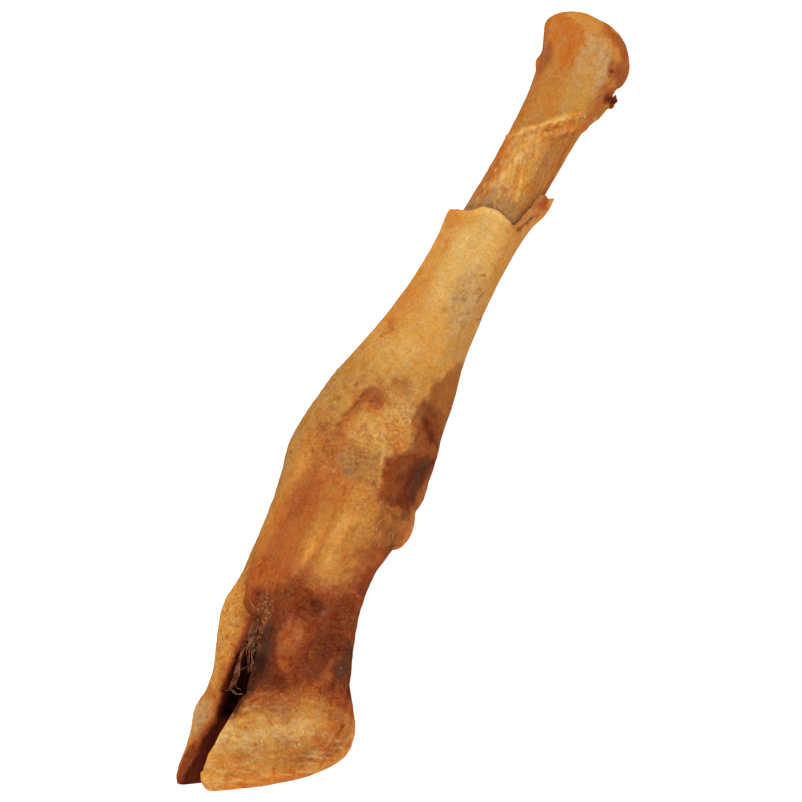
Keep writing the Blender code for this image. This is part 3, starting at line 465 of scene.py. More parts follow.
HOOF_PAINT = (
    # Hoof
    Area(HOOF, "ochre", 0.9, 1.6),
    Area(HOOF_TOP, "clay", 0.9, 1.4),
    Area(((-7, -78), (3, -77), (3, -80), (-2, -81.4), (-6, -84)), "russet", 0.7, 1.2),
    *speckles(HOOF_TOP, (1.1, "rust", 0.8), (0.8, "honey", 0.6)),
    Patch(2.2, -80.6, 1.2, 0.8, "brown", 0.7, 0.8),
    Area(HORN_PALE, "cream", 0.65, 1.4),
    Patch(10.8, -84, 2.2, 2.4, "cream", 0.5),
    Patch(-6.2, -95, 1.8, 2.6, "straw", 0.6, 0.8),
    Patch(-5, -92.4, 1.4, 1, "gold", 0.6, 0.8),
    Patch(2.2, -88.6, 2.6, 1.2, "straw", 0.4, 0.8, 20),
    Patch(-3, -88.8, 2.4, 1.6, "honey", 0.8, 0.8, 20),
    Patch(9.4, -96.6, 3, 1.2, "orange", 0.3, 0.9, 30),
    Patch(11.4, -92.6, 1.9, 1.1, "brown", 0.55, 0.8, 25),
    Patch(14.2, -90.4, 1.2, 1.2, "brown", 0.5, 0.8, 25),
    Patch(7.6, -90.2, 2.4, 0.8, "dun", 0.5, 0.8, 20),
    Speckle(((2, -80), (14, -78), (15, -88), (0, -96), (-6, -98)), 1.5, "tan", 0.6),
    Speckle(((6, -84), (16, -82), (16, -92), (4, -94)), 1.1, "grey", 0.35),
    Area(HOOF_LOW, "honey", 0.75, 1.5),
    Speckle(HOOF_LOW, 1.4, "orange", 0.6),
    Patch(-6, -105.6, 2.6, 3.4, "gold", 0.9, 0.7, 20),
    Area(HEEL, "copper", 0.5, 1.1),
    Speckle(HEEL, 0.9, "clay", 0.7),
    Stroke(((19.6, -82.6), (20.1, -84.6), (19.4, -88)), 0.3, "russet", 0.8),
    Stroke(((18.2, -85.4), (17.4, -88.4), (15.4, -91.2)), 0.3, "rust", 0.6),
    Stroke(((17.6, -80.2), (17.2, -84.6), (15.4, -87.6)), 0.3, "clay", 0.6),
    Patch(20, -85.2, 0.6, 0.5, "maroon", 0.9, 0.6),
    Area(((19.4, -77.6), (22, -79), (25.4, -83), (25, -88), (21.8, -91.4), (20.4, -84)), "ochre", 0.8, 0.9),
    Area(((22, -79.6), (25.4, -83), (25, -87), (22.4, -87), (22, -83)), "olive", 0.5, 0.7),
    Patch(20.6, -82.4, 1.3, 4.4, "clay", 0.65),
    Area(((13, -88), (17, -87), (17, -90), (14, -93.6), (10, -94), (10, -91.6)), "walnut", 0.4, 1.1),
    Patch(18, -79.2, 2.2, 1.6, "clay", 0.6),
    Patch(2, -86.8, 2.4, 1, "straw", 0.4, 0.9, 10),
    Patch(-4, -93.4, 2, 1.6, "straw", 0.5),
    Patch(2, -95, 2.2, 1, "tan", 0.6, 0.9, 10),
    Patch(-7.2, -97.4, 1.4, 2.2, "straw", 0.7),
    Patch(-5.4, -109, 1.6, 1, "straw", 0.7, 0.8, 10),
    Patch(-5, -104.6, 2.4, 1.6, "amber", 0.6, 0.9, 10),
    Patch(-7.4, -99.4, 1.2, 1.2, "honey", 0.7),
    Area(((-2, -108.6), (4, -106.8), (8, -104), (13, -100.6), (21, -96), (22, -92.6), (17, -93.6),
        (13, -95.4), (9, -97.8), (4, -102.6), (-1, -106.2)), "orange", 0.45, 0.9),
    Patch(6, -89.2, 2, 0.9, "dun", 0.5, 0.9, 10),
    Patch(-0.2, -101.4, 2.8, 1.4, "orange", 0.6, 0.9, 10),
    Patch(2.2, -83, 2.2, 1, "clay", 0.8, 0.9, 10),
    Stroke(((16, -96), (19.6, -93), (22.4, -89.6), (23.6, -85.6), (23, -80.6)), 0.8, "ochre", 0.5),
    Stroke(((-8.4, -108.6), (-3, -107.4), (3, -104), (8, -100.4), (14, -96.2)), 0.4, "orange", 0.5),
    Patch(13.4, -98, 2.2, 0.9, "copper", 0.6, 0.9, 30),
    Patch(15.2, -89.8, 1.8, 1.1, "grey", 0.5, 0.9, 25),
    Patch(20.8, -84.4, 1.2, 1.6, "russet", 0.4),
    Patch(-6.6, -100.2, 1.6, 1.8, "amber", 0.6),
    Patch(22.8, -82, 1, 3, "clay", 0.4),
    Patch(16.8, -94.2, 1.8, 1, "orange", 0.5, 0.9, 30),
    # Dark over the horn's upper corner, next to the cleft: painted shade where the toe drops into it
    Area(((-9, -73.6), (-4, -74.6), (2.4, -76.4), (2, -78.6), (-1.6, -80), (-4.6, -82), (-6, -86),
        (-6.4, -90.4), (-9.6, -91), (-9.6, -78)), "maroon", 0.75, 0.9),
    Area(((-9.6, -72), (-5.8, -72.4), (-4.4, -77.4), (-5.4, -81), (-5.8, -84), (-6, -88.8), (-9.6, -90)),
        "char", 0.85, 0.7),
    Stroke(((-7.5, -80), (-6.9, -84), (-7.1, -87)), 0.9, "wine", 0.8),
    Patch(4.2, -80, 3, 1.8, "copper", 0.6),
    Patch(5, -78.4, 1.8, 1, "rust", 0.5),
    Patch(3, -82.8, 2.6, 1.4, "walnut", 0.7, 0.9, 10),
    Patch(-2.8, -82.2, 1.4, 1.6, "copper", 0.7),
    Patch(17, -78.2, 3.4, 1, "walnut", 0.45),
    Patch(21.4, -82.4, 1.6, 4, "walnut", 0.35),
    Area(((9, -97), (17, -94.2), (18.4, -96), (12, -100)), "copper", 0.45, 0.8),
    Patch(18.6, -92.4, 1.6, 1, "gold", 0.6, 0.9, 30),
    Patch(-3.4, -92.4, 1.6, 1.2, "straw", 0.5),
    Patch(-4, -107.8, 2, 1, "gold", 0.7, 0.9, 20),
    Speckle(((-8, -76), (1, -77), (1, -82), (-7, -90)), 0.9, "rust", 0.5),
)
FAR_TOE_PAINT = (
    # The other toe, past the front of the near one
    Area(((-26, -58), (-18, -58), (-14.4, -62), (-13.8, -70), (-13.6, -84), (-17, -90), (-26, -76)), "honey",
        0.85, 1),
    Area(((-26, -56), (-20.8, -57), (-21.2, -66), (-26, -68)), "olive", 0.6, 0.8),
    Area(((-22, -70), (-18.4, -70), (-16.6, -78), (-16.4, -88), (-20, -88)), "olive", 0.6, 0.7),
    Area(((-18.6, -52), (-16, -52), (-12, -66), (-14.6, -66), (-16.6, -63), (-18, -58)), "copper", 0.7, 1),
    Patch(-18.4, -68, 1.3, 4.2, "gold", 0.5, 0.9, 10),
    Speckle(FAR_FLESH, 1.4, "amber", 0.5),
    Area(((-18.6, -89.6), (-14.2, -88.8), (-12, -92.4), (-13.2, -98), (-15.2, -100), (-17, -99)), "tan", 0.75,
        0.8),
    Patch(-15.4, -86.6, 0.9, 1.8, "clay", 0.6, 0.8),
    Speckle(((-18.6, -86), (-12.6, -86), (-14, -99), (-17, -99)), 1, "ochre", 0.8),
    Area(beside(RUST_EDGE, -0.9, 2.4), "copper", 0.6, 0.9),
    Area(beside(RUST_EDGE, 0.3, 12), "rust", 0.95, 0.6),
    Area(beside(RUST_EDGE, 1, 12), "russet", 0.8, 0.6),
    Area(((-15, -58), (-8, -58), (-8, -68), (-13.4, -68)), "russet", 0.8, 0.8),
    # Dark red, partly the skin's own colour, and black: painted shade towards the cleft.
    Area(beside(DARK_EDGE, 0, 14), "blood", 0.97, 0.6),
    Area(beside(BLACK_EDGE, 0, 14), "black", 1, 0.7),
    Stroke(((-10.2, -97), (-10.6, -101), (-10.4, -105)), 1, "blood", 0.6),
)
FLAP_PAINT = (
    # The flap beside the cuff: bone shows up to its red edge
    Area(((6.6, 53.6), (8.6, 57), (12, 60), (12, 67), (7, 67), (6.4, 60)), "copper", 0.6, 0.7),
    Area(((5.4, 54.2), (6.4, 53.8), (7.8, 57), (8.2, 60), (8.4, 67), (6.4, 67), (5.6, 60)), "dun", 0.9, 0.5),
    Area(((6.8, 60), (8.6, 60), (8.8, 66), (7.2, 66)), "clay", 0.6, 0.6),
    Stroke(((6, 54.2), (6.6, 57), (7, 59)), 0.3, "copper", 0.7),
    Area(((8, 62), (9.2, 65.2), (10.6, 64.4), (10.7, 61.6), (9.6, 61)), "rust", 0.95, 0.6),
    Patch(9.4, 59.6, 0.6, 0.4, "rust", 0.7, 0.7, 20),
    Stroke(((6.6, 53.8), (7.2, 55.6), (7.9, 57.2), (8.4, 58.9)), 0.3, "russet", 0.95),
    Patch(8.2, 58.4, 0.4, 0.8, "russet", 0.8, 0.6, -25),
    Patch(6.5, 54.2, 0.5, 0.7, "russet", 0.8, 0.7),
    Stroke(((9.9, 57), (11, 60.4), (11.4, 64.6)), 0.4, "ochre", 0.5),
)
SKIN_PAINT = (
    *LEG_PAINT, *only(NEAR_PASTERN_PAINT, "near"), *PARTING_PAINT, *only(HOOF_PAINT, "near"),
    *only(FAR_TOE_PAINT, "far"), *FLAP_PAINT,
)

DOME_ORANGE = (
    (-9.6, 106), (-7, 109), (-1, 108), (1.2, 106), (1.2, 98), (-0.4, 93), (-2.4, 97), (-5, 100), (-8, 101),
)
DOME_PALE = (
    (1.9, 107), (6.4, 107.8), (7.6, 106), (9.6, 105), (10, 98), (9.4, 94), (6, 92), (3.4, 95), (2, 99),
)
DOME_RIM = (
    (4.6, 111.2), (8, 111), (13, 107.6), (15.6, 103), (16, 98.6), (12.4, 98.6), (10.4, 100.6), (10.2, 103.4),
    (12.2, 104.4), (10.4, 106.4), (8, 107.8), (6, 109),
)
SHEET = (
    (-5, 76.4), (-2.8, 78.2), (0, 80.7), (3, 83.3), (5.4, 86), (6, 84.4), (3.4, 81.6), (3, 78), (3.4, 66),
    (3.4, 60), (-4.6, 60), (-4.4, 68),
)
BONE_PAINT = (
    # Domed end
    Area(DOME_ORANGE, "orange", 0.7, 1.6),
    Speckle(DOME_ORANGE, 1.6, "amber", 0.5),
    Patch(-1, 101, 0.9, 6.4, "orange", 0.7, 0.8, -2),
    Patch(-4.6, 107, 2.6, 2, "orange", 0.5),
    Area(((-9, 101), (-6, 101), (-4.2, 98.6), (-4.6, 92), (-7.6, 92)), "clay", 0.75, 1),
    Patch(-5.6, 97, 0.8, 2.8, "rust", 0.4),
    Patch(-7.4, 95.2, 0.7, 1.6, "ochre", 0.9, 0.5),
    Area(((-6, 109.4), (-3, 112), (3, 112), (4.4, 109.4), (2.6, 107.6), (-2, 107.8)), "honey", 0.8, 0.9),
    Area(((-10, 108), (-8.4, 107), (-7.6, 102), (-7, 96), (-9, 96)), "clay", 0.6, 0.8),
    Area(DOME_PALE, "tan", 0.75, 1.1),
    *speckles(DOME_PALE, (1.6, "cream", 0.45), (1.1, "ochre", 0.55)),
    Patch(5.3, 103.6, 0.4, 3.4, "ochre", 0.5, 0.8),
    Patch(8, 104.2, 0.4, 1.8, "ochre", 0.6, 0.8),
    Area(DOME_RIM, "rust", 0.72, 0.8),
    Area(((7.4, 107.8), (9.6, 107), (12, 104.8), (10, 103.6), (8.6, 105)), "amber", 0.6, 0.8),
    Patch(8.8, 109.2, 2.2, 0.7, "russet", 0.6, 0.8, -24),
    Patch(12.6, 101, 1.6, 1.4, "rust", 0.7),
    Patch(11.3, 100.9, 0.45, 0.4, "wine", 0.9, 0.6),
    Patch(11, 99.4, 0.3, 0.3, "maroon", 0.7, 0.6),
    # Shaft above the membrane
    Area(((-7.6, 95), (-5, 94), (-4.4, 86), (-4.6, 75), (-7.6, 74)), "clay", 0.4, 1),
    Area(((2, 98), (9, 98), (8.8, 86), (6.6, 86.6), (3, 84.2), (2, 90)), "barley", 0.85, 1.2),
    Area(((10, 98), (14.6, 97), (13, 90), (11, 83), (9.6, 83), (10, 90)), "clay", 0.75, 1.2),
    Area(((11.8, 92), (15, 92), (13.4, 87), (11, 84), (11.2, 87)), "walnut", 0.4, 0.8),
    Patch(10.6, 93.6, 0.35, 0.4, "brown", 0.8, 0.5),
    Patch(5, 87.9, 0.7, 0.3, "ash", 0.7, 0.6, -10),
    Patch(8.6, 94.2, 1.4, 0.4, "amber", 0.5),
    Area(((11.6, 94), (12.6, 96.4), (14.6, 99), (15, 98), (14, 95.4), (15, 92), (13, 92.4)), "rust", 0.8,
        0.9),
    Patch(13.4, 94.2, 1, 1.2, "wine", 0.8, 0.8),
    # Membrane, its fibres hanging towards the cuff
    Area(SHEET, "gold", 0.75, 0.8),
    Area(((-3.6, 76), (-0.6, 77.6), (1.4, 76), (0.6, 66), (-1, 61), (-3.6, 61)), "cream", 0.35, 1.1),
    Stroke(((-3.4, 76.8), (0.4, 80.2), (3.2, 83), (5.2, 85.6)), 0.8, "cream", 0.6),
    Patch(3.6, 81.8, 2, 1.1, "gold", 0.8, 0.9, 35),
    Patch(1.2, 72, 0.9, 1.8, "cream", 0.7),
    Patch(-7, 97, 1.4, 2.4, "rust", 0.5),
    Patch(14, 99.2, 1.6, 1.6, "rust", 0.6),
    Patch(8.6, 108.4, 3.8, 1.2, "copper", 0.9, 0.9, -25),
    Patch(1.2, 112, 4, 0.7, "orange", 0.5),
    Patch(-3.2, 64.4, 1, 2.2, "amber", 0.5),
    Patch(11.6, 108, 1.6, 1.2, "rust", 0.5, 0.9, -35),
    Patch(3.2, 68, 0.9, 1.6, "ochre", 0.5),
    Patch(-3.1, 64.4, 1.4, 2.8, "amber", 0.6),
    Patch(1.2, 65.2, 0.9, 2.2, "pale", 0.6),
    Patch(1, 58.2, 1.6, 1, "tan", 0.6),
    Patch(7, 106.2, 1.3, 1.1, "honey", 0.6),
    Area(((2, 81.4), (3.2, 79.6), (6, 81.4), (9.2, 84.4), (8.8, 87), (6.8, 86.6), (6, 84.4), (3.6, 82.4)),
        "amber", 0.65, 0.7),
    Patch(7.2, 84.2, 1.6, 1.3, "orange", 0.65, 0.8),
    Patch(7.2, 87, 1.4, 0.8, "amber", 0.6, 0.8, 10),
    Stroke(((2.2, 79.4), (3.6, 80.6)), 0.3, "rust", 0.9),
    Stroke(((-0.6, 77.4), (0.7, 78.4)), 0.25, "rust", 0.8),
    Stroke(((4.4, 82), (5.6, 82.8)), 0.25, "copper", 0.8),
    Stroke(((3.6, 78.6), (6, 79.8), (8.8, 82.6)), 0.45, "copper", 0.7),
    Patch(-3.4, 78.2, 0.5, 0.5, "tan", 0.8, 0.7),
    Area(((-8, 76), (-4.9, 75.4), (-4.4, 66), (-5.4, 58), (-9, 56)), "copper", 0.65, 0.9),
    Stroke(((-4.8, 76), (-4.6, 66), (-5, 58)), 0.5, "amber", 0.7),
    Area(((4.4, 79.6), (9.2, 83), (12, 84), (11, 58), (6, 56), (4.4, 66)), "walnut", 0.42, 0.8),
    Patch(8.8, 73, 0.5, 9, "rust", 0.35, 0.9, -2),
    Patch(4.2, 71, 0.4, 6, "barley", 0.6, 0.9, -4),
    Patch(-0.3, 71.8, 0.6, 7.4, "straw", 0.7, 0.8, -8),
    Patch(-2.2, 67, 0.7, 6, "straw", 0.7, 0.8, -12),
    Patch(1.6, 65.6, 0.6, 4.6, "straw", 0.5, 0.8, 6),
    Patch(1, 76.6, 0.6, 3, "amber", 0.6, 0.8, -20),
    Patch(-3.6, 71.6, 0.4, 4.6, "orange", 0.5, 0.8, -14),
    # Bare grey bone at the cuff
    Area(((-4.6, 61), (0, 60), (4.2, 61.4), (4.6, 54), (-5, 54)), "ash", 0.6, 1.4),
    Speckle(((-5, 62), (5, 62), (5, 54), (-5, 54)), 1.1, "grey", 0.5),
    Patch(2.6, 57.6, 1, 1.8, "grey", 0.4, 0.8),
    Patch(-2, 57.4, 0.7, 1.8, "grey", 0.4, 0.8, -10),
    Patch(2.4, 62.2, 0.5, 0.7, "tan", 0.7, 0.8),
    Patch(-0.7, 61.6, 0.8, 1, "copper", 0.6, 0.8),
    Patch(-4.8, 58, 0.5, 2.6, "orange", 0.5, 0.8, -10),
    Patch(1, 58.6, 0.3, 2.4, "amber", 0.5, 0.8, -8),
    Area(((4.8, 60), (6.4, 59), (7.4, 53), (5, 53)), "rust", 0.4, 0.8),
    Stroke(((-8.2, 53.4), (-5, 55.6), (0, 56.5), (5, 55.2)), 0.35, "brown", 0.5),
)

# Edges and wrinkles raised or pressed in along a line on the side that is seen: half width and rise.
Ridge = namedtuple("Ridge", "line width rise")

SKIN_RIDGES = (
    Ridge(CREASE, 0.7, -0.25),
    Ridge(((-10.6, 1.6), (-11.7, -1.4), (-12.2, -4.4), (-13.2, -7)), 0.9, -0.25),
    Ridge(HOLLOW[:4], 0.7, -0.25),
    Ridge(((12.2, -22.8), (8, -23.8), (4.2, -23.6), (3, -19), (0.8, -14.6)), 0.7, 0.12),
    Ridge(((8.6, -10), (9.6, -14), (9.2, -19)), 1, -0.4),
    Ridge(((4, -35), (6.5, -34.5), (9.4, -35.4)), 0.5, -0.2),
    Ridge(((3.6, -37.8), (6.4, -37), (9.6, -38.2)), 0.5, -0.22),
    Ridge(((3.4, -40.4), (6, -39.6), (9.6, -40.8)), 0.5, -0.2),
    Ridge(((3, -43.4), (6, -42.4), (9.6, -43.6)), 0.5, -0.2),
    Ridge(((2.6, -48.8), (6, -48.2), (10.4, -49.4)), 0.5, -0.3),
    Ridge(((-4, -57.4), (-0.4, -59.5), (3.4, -58.8)), 0.5, -0.35),
    Ridge(((-2.4, -57.9), (-0.4, -58.3), (1.8, -58)), 0.3, 0.2),
    Ridge(((-9.4, -51.6), (-6.4, -53.6), (-3, -52.4)), 0.6, -0.3),
    Ridge(((-6, -61), (-6, -67), (-4.2, -72), (1, -75.4)), 0.8, -0.45),
    Ridge(((4, -59.6), (4.4, -66), (2.4, -71.4)), 0.7, -0.3),
    Ridge(((9.8, -59), (11.8, -66), (13.4, -72)), 0.7, -0.3),
    Ridge(((-5.4, -77.6), (0, -77.4), (5, -76)), 0.7, -0.3),
    Ridge(((19.8, -80), (19.2, -83.6), (19, -88)), 0.6, -0.4),
    Ridge(((21.4, -80.6), (21.4, -86), (18.6, -91)), 0.6, -0.25),
)
BONE_RIDGES = (
    Ridge(((0.2, 107), (0.9, 102), (0.9, 97)), 0.5, -0.15),
    Ridge(((-2, 106), (-1.2, 101), (-1.4, 96)), 0.5, -0.12),
    Ridge(((-7, 101), (-5.8, 97), (-5.6, 92)), 0.5, -0.2),
    Ridge(((10.4, 104), (10.8, 101), (12.6, 98.2)), 0.5, -0.25),
)
# The upper toe's edge along the cleft, as (y, x).
NEAR_TOE_EDGE = (
    (-112, -8.2), (-108, -8.2), (-106.9, -9.3), (-105.4, -7.9), (-103, -8.3), (-101, -8.5), (-98, -8.1),
    (-95, -8.1), (-92, -7.7), (-88, -7.4),
)
# The ragged top of the flap beside the cuff, as (x, y).
FLAP_TOP = ((7, 64.4), (8.8, 65), (9.5, 65.1), (10, 64.4), (10.6, 64.7), (11.4, 65.3))
# The membrane's upper and lower edge on the bone, as (x, y).
MEMBRANE_TOP = ((-7, 74.4), (-5.5, 75.6), (-3, 78), (0, 80.7), (3, 83.3), (6, 86.5), (8.6, 88.4))
MEMBRANE_FOLD = ((2.2, 79.2), (5, 80.8), (8.6, 84.2))
# The bone's back edge where the scraps stand out from it, as (y, x).
SCRAPS_EDGE = ((91, 14.7), (92.4, 14.5), (95.6, 13.8), (97.5, 14.2), (98.5, 15))


# How strong the material's marbling, streaks along the leg and specks are on each part of the skin, on the
# bone and on its membrane.
SKIN_DETAIL = {
    "shaft": (0.3, 0.15, 0.1),
    "fetlock": (1.1, 0.25, 0.8),
    "tendons": (0.5, 0.7, 0.3),
    "pastern": (1.4, 0.15, 1.2),
    "hoof": (1.2, 0.0, 0.3),
}
BONE_DETAIL = (0.45, 0.2, 0.05)
SHEET_DETAIL = (0.4, 0.6, 0.1)


def seen_colour(name):
    """A palette colour as linear values."""
    share = np.array(PALETTE[name]) / 255
    return np.where(share <= 0.04045, share / 12.92, ((share + 0.055) / 1.055) ** 2.4)


def colour(name):
    """The colour of a surface that shows a palette colour where it faces the lights."""
    return seen_colour(name) / (LIGHT_ROUND + LIGHT_KEY)


def smooth_step(low, high, value):
    """Rises smoothly from 0 at low to 1 at high, which may lie below low."""
    share = np.clip((value - low) / (high - low), 0.0, 1.0)
    return share * share * (3 - 2 * share)


def brightness(normals):
    """How bright the lights make surfaces that face along the normals."""
    key = np.array(KEY_PLACE) / np.linalg.norm(KEY_PLACE)
    lit = LIGHT_ROUND + LIGHT_KEY * np.maximum(normals @ key, 0.0)
    below = smooth_step(0.0, -0.6, normals[:, 2])
    return lit + below * (LIGHT_BELOW - lit)


# Large odd numbers that scatter the numbers of cells, so that neighbours come out unlike.
CELL_FACTORS = (73856093, 19349663, 83492791)
SEED_FACTOR = 2654435761
SCATTER_FACTOR = 1274126177


def noise(points, size, seed):
    """Smooth noise of about -1 to 1 at points in millimetres, with bumps of size, one number or three."""
    spots = points / np.asarray(size, float) + seed * 17.31
    cells = np.floor(spots).astype(np.int64)
    inside = spots - cells
    blend = inside * inside * inside * (inside * (inside * 6 - 15) + 10)
    total = np.zeros(len(points))
    for corner in range(8):
        step = np.array([corner & 1, corner >> 1 & 1, corner >> 2 & 1])
        across, along, up = ((cells + step) * CELL_FACTORS).T
        mixed = across ^ along ^ up ^ seed * SEED_FACTOR
        mixed = (mixed ^ mixed >> 13) * SCATTER_FACTOR & 0x7FFFFFFF
        mixed = mixed ^ mixed >> 16
        angle = (mixed & 1023) / 1023 * 2 * math.pi
        tilt = (mixed >> 10 & 1023) / 1023 * 2 - 1
        flat = np.sqrt(np.maximum(0.0, 1 - tilt * tilt))
        slope = np.stack([flat * np.cos(angle), flat * np.sin(angle), tilt], axis=1)
        weight = np.prod(np.where(step == 1, blend, 1 - blend), axis=1)
        total += weight * ((inside - step) * slope).sum(axis=1)
    return total * 1.5


def rough_noise(points, size, seed, layers=3):
    """Noise with finer and fainter layers on it."""
    total = np.zeros(len(points))
    for layer in range(layers):
        total += noise(points, np.asarray(size, float) / 2**layer, seed + layer) / 2**layer
    return total


def ridges(points, size, seed):
    """Noise with sharp crests: 1 on a crest and towards 0 away from it."""
    return 1 - np.abs(np.clip(rough_noise(points, size, seed, 2), -1.0, 1.0))


def distance_to_line(across, along, line):
    """How far each point is from a bent line."""
    best = np.full(len(across), 1e9)
    for (ax, ay), (bx, by) in zip(line, line[1:]):
        dx, dy = bx - ax, by - ay
        share = np.clip(((across - ax) * dx + (along - ay) * dy) / (dx * dx + dy * dy), 0.0, 1.0)
        best = np.minimum(best, np.hypot(across - ax - share * dx, along - ay - share * dy))
    return best


def depth_inside(across, along, outline):
    """How far inside an outline each point lies; below 0 outside it."""
    closed = (*outline, outline[0])
    within = np.zeros(len(across), bool)
    for (ax, ay), (bx, by) in zip(closed, closed[1:]):
        if ay != by:
            crossing = ax + (along - ay) * (bx - ax) / (by - ay)
            within ^= ((ay > along) != (by > along)) & (across < crossing)
    return np.where(within, 1, -1) * distance_to_line(across, along, closed)


def mesh_arrays(mesh):
    """The mesh's points in millimetres, and its normals."""
    points = np.empty(len(mesh.vertices) * 3, np.float32)
    normals = np.empty(len(mesh.vertices) * 3, np.float32)
    mesh.vertices.foreach_get("co", points)
    mesh.vertex_normals.foreach_get("vector", normals)
    return points.reshape(-1, 3).astype(float) / MM, normals.reshape(-1, 3).astype(float)


def store_points(mesh, points):
    mesh.vertices.foreach_set("co", (points * MM).astype(np.float32).ravel())
    mesh.update()


def spread(mesh, values, rounds):
    """Values at the points, evened out with those of their neighbours."""
    edges = np.empty(len(mesh.edges) * 2, np.int32)
    mesh.edges.foreach_get("vertices", edges)
    start, end = edges.reshape(-1, 2).T
    count = len(mesh.vertices)
    near = np.maximum(np.bincount(start, minlength=count) + np.bincount(end, minlength=count), 1)
    for _ in range(rounds):
        total = np.stack([
            np.bincount(start, column[end], count) + np.bincount(end, column[start], count)
            for column in values.T
        ])
        values = (total / near).T
    return values


def dents(mesh, rounds):
    """How deep each point lies below the surface round it, in millimetres; below 0 on a rise."""
    points, normals = mesh_arrays(mesh)
    return ((spread(mesh, points, rounds) - points) * normals).sum(axis=1)


def dense_copy(node, name, voxel, rounds):
    """An evenly meshed, rounded copy of a node's solid."""
    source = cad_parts[node]
    obj = bpy.data.objects.new(name, source.data.copy())
    bpy.context.scene.collection.objects.link(obj)
    remesh = obj.modifiers.new("even", "REMESH")
    remesh.mode = "VOXEL"
    remesh.voxel_size = voxel * MM
    smooth = obj.modifiers.new("soften", "SMOOTH")
    smooth.factor = 0.5
    smooth.iterations = rounds
    graph = bpy.context.evaluated_depsgraph_get()
    graph.update()
    made = bpy.data.meshes.new_from_object(obj.evaluated_get(graph))
    obj.modifiers.clear()
    obj.data = made
    made.materials.clear()
    made.shade_smooth()
    return obj


class Painter:
    """Works out a colour for each point of a mesh, layer on layer."""

    def __init__(self, points, normals, run):
        self.points = points
        x, y, z = points.T
        self.x, self.y = x, y
        for i, (aside, along, size) in enumerate(WAVERS):
            self.x = self.x + aside * noise(points, size, 3 + i)
            self.y = self.y + along * noise(points, size, 6 + i)
        self.seen = smooth_step(-0.5, 0.1, normals[:, 2])
        toes = smooth_step(TOES_Y + 1.0, TOES_Y - 1.0, y)
        upper = smooth_step(TOES_SPLIT_Z - 0.5, TOES_SPLIT_Z + 0.5, z)
        self.far = toes * (1 - upper)
        self.parts = {"leg": np.ones(len(points)), "near": 1 - self.far, "far": self.far}
        self.lit = brightness(normals)[:, None]
        self.on_side = smooth_step(0.5, 0.1, normals[:, 2])[:, None]
        heights, names = zip(*run)
        stops = np.array([seen_colour(name) for name in names])
        warped = self.y + 1.6 * noise(points, 8.0, 9)
        self.tint = np.stack([np.interp(warped, heights, stops[:, i]) for i in range(3)], axis=1)

    def lay(self, weight, name):
        self.tint += weight[:, None] * (seen_colour(name) - self.tint)

    def brighten(self, weight):
        self.tint *= 1 + weight[:, None]

    def weight_of(self, item, x, y, points, seed):
        """How much of an item's colour falls on each point, from where the point lies."""
        if isinstance(item, Stroke):
            off = distance_to_line(x, y, item.line) / item.width
            return smooth_step(1.7, 0.2, off + 0.5 * noise(points, 1.2, seed))
        if isinstance(item, Speckle):
            blotches = smooth_step(-0.1, 0.8, rough_noise(points, item.size, seed, 2))
            return smooth_step(-2.0, 2.0, depth_inside(x, y, item.outline)) * blotches
        uneven = noise(points, 2.2, seed) + 0.6 * noise(points, 0.9, seed + 1)
        if isinstance(item, Area):
            inside = depth_inside(x, y, item.outline) + 0.5 * item.soft * uneven
            return smooth_step(-item.soft, item.soft, inside) * (1 + 0.14 * uneven)
        turn = math.radians(item.turn)
        across, along = x - item.x, y - item.y
        u = (across * math.cos(turn) + along * math.sin(turn)) / item.wide
        v = (along * math.cos(turn) - across * math.sin(turn)) / item.high
        return smooth_step(1 + item.soft, 1 - item.soft, np.hypot(u, v) + 0.35 * item.soft * uneven)

    def lay_item(self, item, x, y, where, seed):
        """Lays one item on the points near it, as far as where lets it."""
        if isinstance(item, Patch):
            spots, reach = ((item.x, item.y),), 2.4 * max(item.wide, item.high)
        else:
            spots = item.line if isinstance(item, Stroke) else item.outline
            reach = PAINT_REACH
        (left, right), (low, high) = ((min(row) - reach, max(row) + reach) for row in zip(*spots))
        near = np.flatnonzero((x > left) & (x < right) & (y > low) & (y < high) & (where > 0.01))
        weight = self.weight_of(item, x[near], y[near], self.points[near], seed)
        weight = np.clip(weight * item.strength, 0.0, 1.0) * where[near]
        self.tint[near] += weight[:, None] * (seen_colour(item.colour) - self.tint[near])

    def paint(self, items, seed):
        """Lays the items on the side that is seen."""
        for i, item in enumerate(items):
            self.lay_item(item, self.x, self.y, self.seen * self.parts[item.part], seed + 2 * i)

    def paint_under(self, items, seed):
        """Lays the items, but for strokes and those of the lower toe, on the side that the leg lies on."""
        x = self.x + TOE_SHIFT_X * self.far
        y = self.y + 1.5 * noise(self.points, 9.0, seed)
        for i, item in enumerate(items):
            if item.part != "far" and not isinstance(item, Stroke):
                self.lay_item(item, x, y, UNDER_STRENGTH * (1 - self.seen), seed + 2 * i)

    def mottle(self, size, seed, low, high, name, strength, where=1.0):
        """Scattered blotches of one colour."""
        self.lay(smooth_step(low, high, rough_noise(self.points, size, seed)) * strength * where, name)

    def store(self, mesh, detail):
        """Keeps the colours, and how strong each kind of fine detail is, for the material."""
        tint = self.tint / self.lit * (1.0 - SIDE_SHADE * self.on_side)
        for name, values in (("Detail", detail), ("Tint", np.clip(tint, 0.0, 1.0))):
            layer = mesh.color_attributes.new(name, "FLOAT_COLOR", "POINT")
            rgba = np.concatenate([values, np.ones((len(values), 1))], axis=1)
            layer.data.foreach_set("color", rgba.astype(np.float32).ravel())


